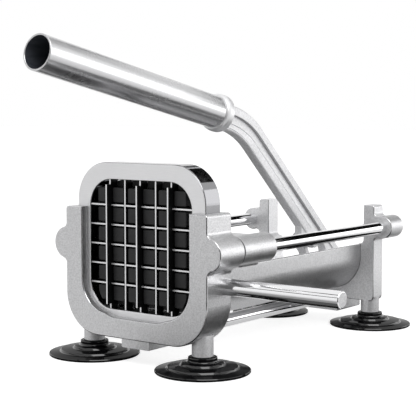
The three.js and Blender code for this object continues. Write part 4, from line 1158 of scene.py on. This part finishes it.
def fulcrum_bracket():
    body = rounded_prism(rounded_rectangle(BRACKET_HALF, BRACKET_BOTTOM, BRACKET_TOP, BRACKET_EDGE), "Y",
                         BRACKET_FRONT, BRACKET_REAR, BRACKET_EDGE, BRACKET_EDGE)
    bottom = BRACKET_BOTTOM + BRACKET_EDGE
    boss = rounded_prism(rounded_rectangle(BRACKET_BOSS_HALF, bottom, BRACKET_BOSS_TOP, BRACKET_EDGE), "Y",
                         BRACKET_FRONT, PLATE_FRONT - SEAT_GAP, BRACKET_EDGE, 0)
    start = PLATE_REAR + SEAT_GAP
    lug_outline = [(start, bottom), *arc(FULCRUM_Y, FULCRUM_Z, LUG_RADIUS, -math.pi / 2, math.pi / 2),
                   (start, LUG_FOOT)]
    lugs = [rounded_prism(lug_outline, "X", *x_range, LUG_EDGE, LUG_EDGE)
            for x_range in ((-LUG_OUTER, -LUG_INNER), (LUG_INNER, LUG_OUTER))]
    join(body, boss, *lugs)
    carve(body, hole_across(disc(FULCRUM_Y, FULCRUM_Z, FULCRUM_PIN_RADIUS + SEAT_GAP), LUG_OUTER))
    settle(body, "fulcrum_bracket_shaped", "frame", "cast_aluminium", CAST, "fulcrum_bracket")


front_casting()
rear_plate()
trough()
blade_frame()
guide_rods()
side_bar()
tie_rod()
suction_feet()
crosshead()
pusher_block()
drawbars()
lever_arm()
grip()
collar()
fulcrum_bracket()

# Materials of the nodes that keep their shape, by the start of their names
KEPT = {
    "blade": SHADED_BLADE, "sleeve_bush": BUSH, "fulcrum_bush": BUSH, "set_screw": SCREW, "bracket_screw": SCREW,
    "pusher_screw": SCREW, "drawbar_bolt": SCREW, "drive_pin": SCREW, "fulcrum_pin": SCREW,
}
for name, node in frame["nodes"].items():
    finish = next((finish for start, finish in KEPT.items() if name.startswith(start)), CAST)
    node.data.materials.clear()
    node.data.materials.append(finish)


# Camera, placed in the machine's own frame

CAMERA_PLACE = Vector((496.68, -570.84, 164.56))
CAMERA_TURN = math.radians(37.47)
CAMERA_DIP = math.radians(4.88)
FOCAL_PIXELS = 1210.6
PHOTO_WIDTH = 416
SENSOR_WIDTH = 36
NEAREST_SEEN = 0.01

camera_data = bpy.data.cameras.new("camera")
camera_data.sensor_width = SENSOR_WIDTH
camera_data.lens = FOCAL_PIXELS * SENSOR_WIDTH / PHOTO_WIDTH
camera_data.clip_start = NEAREST_SEEN
camera = bpy.data.objects.new("camera", camera_data)
camera.location = TO_ROW_FRAME @ CAMERA_PLACE
camera.rotation_euler = (math.pi / 2 - CAMERA_DIP, 0, CAMERA_TURN)
bpy.context.scene.collection.objects.link(camera)
bpy.context.scene.camera = camera


# Studio, in metres and degrees: floor, world, lamps and dark flags

FLOOR_HALF = 6
FLOOR_SHADE = 0.55
FLOOR_ROUGHNESS = 0.8
FLOOR_MIRRORED, FLOOR_SEEN = 0.39, 0.77
WORLD_ON_OBJECT = 0.5

# Name, place, width, height and power of each lamp
LAMPS = [
    ("key", (0.9, -0.7, 1.5), 1.2, 1.2, 15),
    ("side", (0.76, 1.03, 0.32), 1.1, 0.7, 2.8),
]
LAMP_TARGET = (0, 0, 0.08)

FLAG_STEPS = 12
FLAG_HEIGHT = 0.0005
ROD_FLAG_RADIUS = 0.25
RIM_FLAG_DISTANCE = 1.5
RIM_FLAG_TURNS = (36, 70)
RIM_FLAG_REACH = (1.09, 1.25)
RIM_VIEW_DIP = 8
WALL_RADIUS = 1.5
LEFT_AZIMUTHS = (15, 60)
CAMERA_SIDE_AZIMUTHS = (5, 65)
CAMERA_SIDE_START = 0.25
CAMERA_SIDE_HEIGHT = 0.9
ROUND_FLAG_SHADE = 0.005
WALL_FLAG_SHADE = 0.02

# Name, two corners in the machine's own frame, and shade of each flag on the floor
GROUND_FLAGS = [
    ("ground_flag_rods", (50, 20), (125, 340), 0.01),
    ("ground_flag_middle", (125, 60), (160, 340), 0.2),
    ("ground_flag_grip", (160, 80), (235, 340), 0.03),
    ("ground_flag_bar", (-20, -35), (140, 20), 0.12),
    ("ground_flag_bar_front", (-40, -110), (140, -35), 0.4),
    ("ground_flag_bar_far", (-110, -240), (60, -110), 0.65),
    ("ground_flag_left", (-260, 40), (-66, 360), 0.05),
]
# Name, rod, reach along Y in the machine's own frame, and turns round the rod in degrees
ROD_FLAGS = [
    ("rod_flag_right", ROD_X, (415, 665), (38, 106)),
    ("rod_flag_left", -ROD_X, (372, 575), (38, 104)),
]
# Name and heights of each flag on the left
LEFT_FLAGS = [
    ("left_flag", (0.66, 0.84)),
    ("left_flag_high", (1.9, 2.3)),
]


def strength_by_ray(tree, on_object, mirrored_there, seen):
    """A strength for light on the object, one where a reflection looks and one where the camera does."""
    path = tree.nodes.new("ShaderNodeLightPath")
    reflection = tree.nodes.new("ShaderNodeMath")
    reflection.operation = "MAXIMUM"
    tree.links.new(path.outputs["Is Glossy Ray"], reflection.inputs[0])
    tree.links.new(path.outputs["Is Transmission Ray"], reflection.inputs[1])
    strength = None
    for ray, there in ((reflection.outputs[0], mirrored_there), (path.outputs["Is Camera Ray"], seen)):
        made = tree.nodes.new("ShaderNodeMapRange")
        made.inputs["To Min"].default_value = on_object
        made.inputs["To Max"].default_value = there
        if strength:
            tree.links.new(strength, made.inputs["To Min"])
        tree.links.new(ray, made.inputs["Value"])
        strength = made.outputs["Result"]
    return strength


def floor():
    """Pale, with the object's shadow, and near white where the camera or a reflection sees it."""
    material, shader = principled("floor", (FLOOR_SHADE, FLOOR_SHADE, FLOOR_SHADE), FLOOR_ROUGHNESS)
    shader.inputs["Emission Color"].default_value = (1, 1, 1, 1)
    strength = strength_by_ray(material.node_tree, 0, FLOOR_MIRRORED, FLOOR_SEEN)
    material.node_tree.links.new(strength, shader.inputs["Emission Strength"])
    corners = [(x, y, 0) for x, y in rectangle(-FLOOR_HALF, -FLOOR_HALF, FLOOR_HALF, FLOOR_HALF)]
    plane = new_object("floor", corners, [(0, 1, 2, 3)])
    plane.data.materials.append(material)


def world():
    made = bpy.data.worlds.new("studio")
    made.use_nodes = True
    background = made.node_tree.nodes["Background"]
    background.inputs["Color"].default_value = (1, 1, 1, 1)
    strength = strength_by_ray(made.node_tree, WORLD_ON_OBJECT, 1, 1)
    made.node_tree.links.new(strength, background.inputs["Strength"])
    bpy.context.scene.world = made


def softbox(name, place, width, height, power):
    data = bpy.data.lights.new(name, "AREA")
    data.shape = "RECTANGLE"
    data.size = width
    data.size_y = height
    data.energy = power
    lamp = bpy.data.objects.new(name, data)
    lamp.location = place
    lamp.rotation_euler = (Vector(LAMP_TARGET) - Vector(place)).to_track_quat("-Z", "Y").to_euler()
    bpy.context.scene.collection.objects.link(lamp)


def flag(name, corner, shade):
    """A dark flag that only reflections see: corner(u, v) gives its points, u and v from 0 to 1."""
    row = FLAG_STEPS + 1
    vertices = [corner(i / FLAG_STEPS, j / FLAG_STEPS) for j in range(row) for i in range(row)]
    faces = [(j * row + i, j * row + i + 1, (j + 1) * row + i + 1, (j + 1) * row + i)
             for j in range(FLAG_STEPS) for i in range(FLAG_STEPS)]
    material, shader = principled(name, (shade, shade, shade), 1)
    shader.inputs["Specular IOR Level"].default_value = 0
    card = new_object(name, vertices, faces)
    card.data.materials.append(material)
    card.visible_camera = False
    card.visible_diffuse = False
    card.visible_shadow = False


def between(ends, share):
    return ends[0] + (ends[1] - ends[0]) * share


def ground_flag(name, low, high, shade):
    """A flag just over the floor, from one corner to another in the machine's own frame."""
    near, far = TO_ROW_FRAME @ Vector((*low, 0)), TO_ROW_FRAME @ Vector((*high, 0))
    flag(name, lambda u, v: (between((near.x, far.x), u), between((near.y, far.y), v), FLAG_HEIGHT), shade)


def rod_flag(name, rod_x, reach, turns):
    """A flag behind the machine, curved round a rod's axis, which that rod mirrors as a dark line."""
    axis = TO_ROW_FRAME @ Vector((rod_x, 0, ROD_Z))

    def corner(u, v):
        turn = math.radians(between(turns, u))
        return (axis.x + ROD_FLAG_RADIUS * math.cos(turn), axis.y + between(reach, v) * MM,
                axis.z + ROD_FLAG_RADIUS * math.sin(turn))

    flag(name, corner, ROUND_FLAG_SHADE)


def rim_flag():
    """A flag far behind the grid's frame, which the rim's upper right corner mirrors."""
    middle = FRAME_HALF - FRAME_CORNER
    place = TO_ROW_FRAME @ Vector((middle, 0, GRID_Z + middle))

    def corner(u, v):
        turn = math.radians(between(RIM_FLAG_TURNS, u))
        mirrored_turn = 2 * turn - math.radians(RIM_VIEW_DIP)
        radius = between(RIM_FLAG_REACH, v)
        return (place.x + FRAME_CORNER * MM * math.cos(turn) + radius * math.cos(mirrored_turn),
                place.y + RIM_FLAG_DISTANCE,
                place.z + FRAME_CORNER * MM * math.sin(turn) + radius * math.sin(mirrored_turn))

    flag("rim_flag", corner, ROUND_FLAG_SHADE)


def left_flag(name, heights):
    """An upright strip in front on the left, which the side bar mirrors as a dark line."""
    def corner(u, v):
        azimuth = math.radians(between(LEFT_AZIMUTHS, u))
        return -WALL_RADIUS * math.sin(azimuth), -WALL_RADIUS * math.cos(azimuth), between(heights, v)

    flag(name, corner, WALL_FLAG_SHADE)


def camera_side_flag():
    """A flag that runs out over the floor and up a wall. Azimuth 0 is in front and 90 on the right."""
    def corner(u, v):
        azimuth = math.radians(between(CAMERA_SIDE_AZIMUTHS, u))
        radius = between((CAMERA_SIDE_START, WALL_RADIUS), min(2 * v, 1))
        height = FLAG_HEIGHT + CAMERA_SIDE_HEIGHT * max(2 * v - 1, 0)
        return radius * math.sin(azimuth), -radius * math.cos(azimuth), height

    flag("camera_flag", corner, WALL_FLAG_SHADE)


floor()
world()
for row in GROUND_FLAGS:
    ground_flag(*row)
for row in ROD_FLAGS:
    rod_flag(*row)
rim_flag()
for row in LEFT_FLAGS:
    left_flag(*row)
camera_side_flag()
for row in LAMPS:
    softbox(*row)

bpy.context.scene.view_settings.view_transform = "Standard"
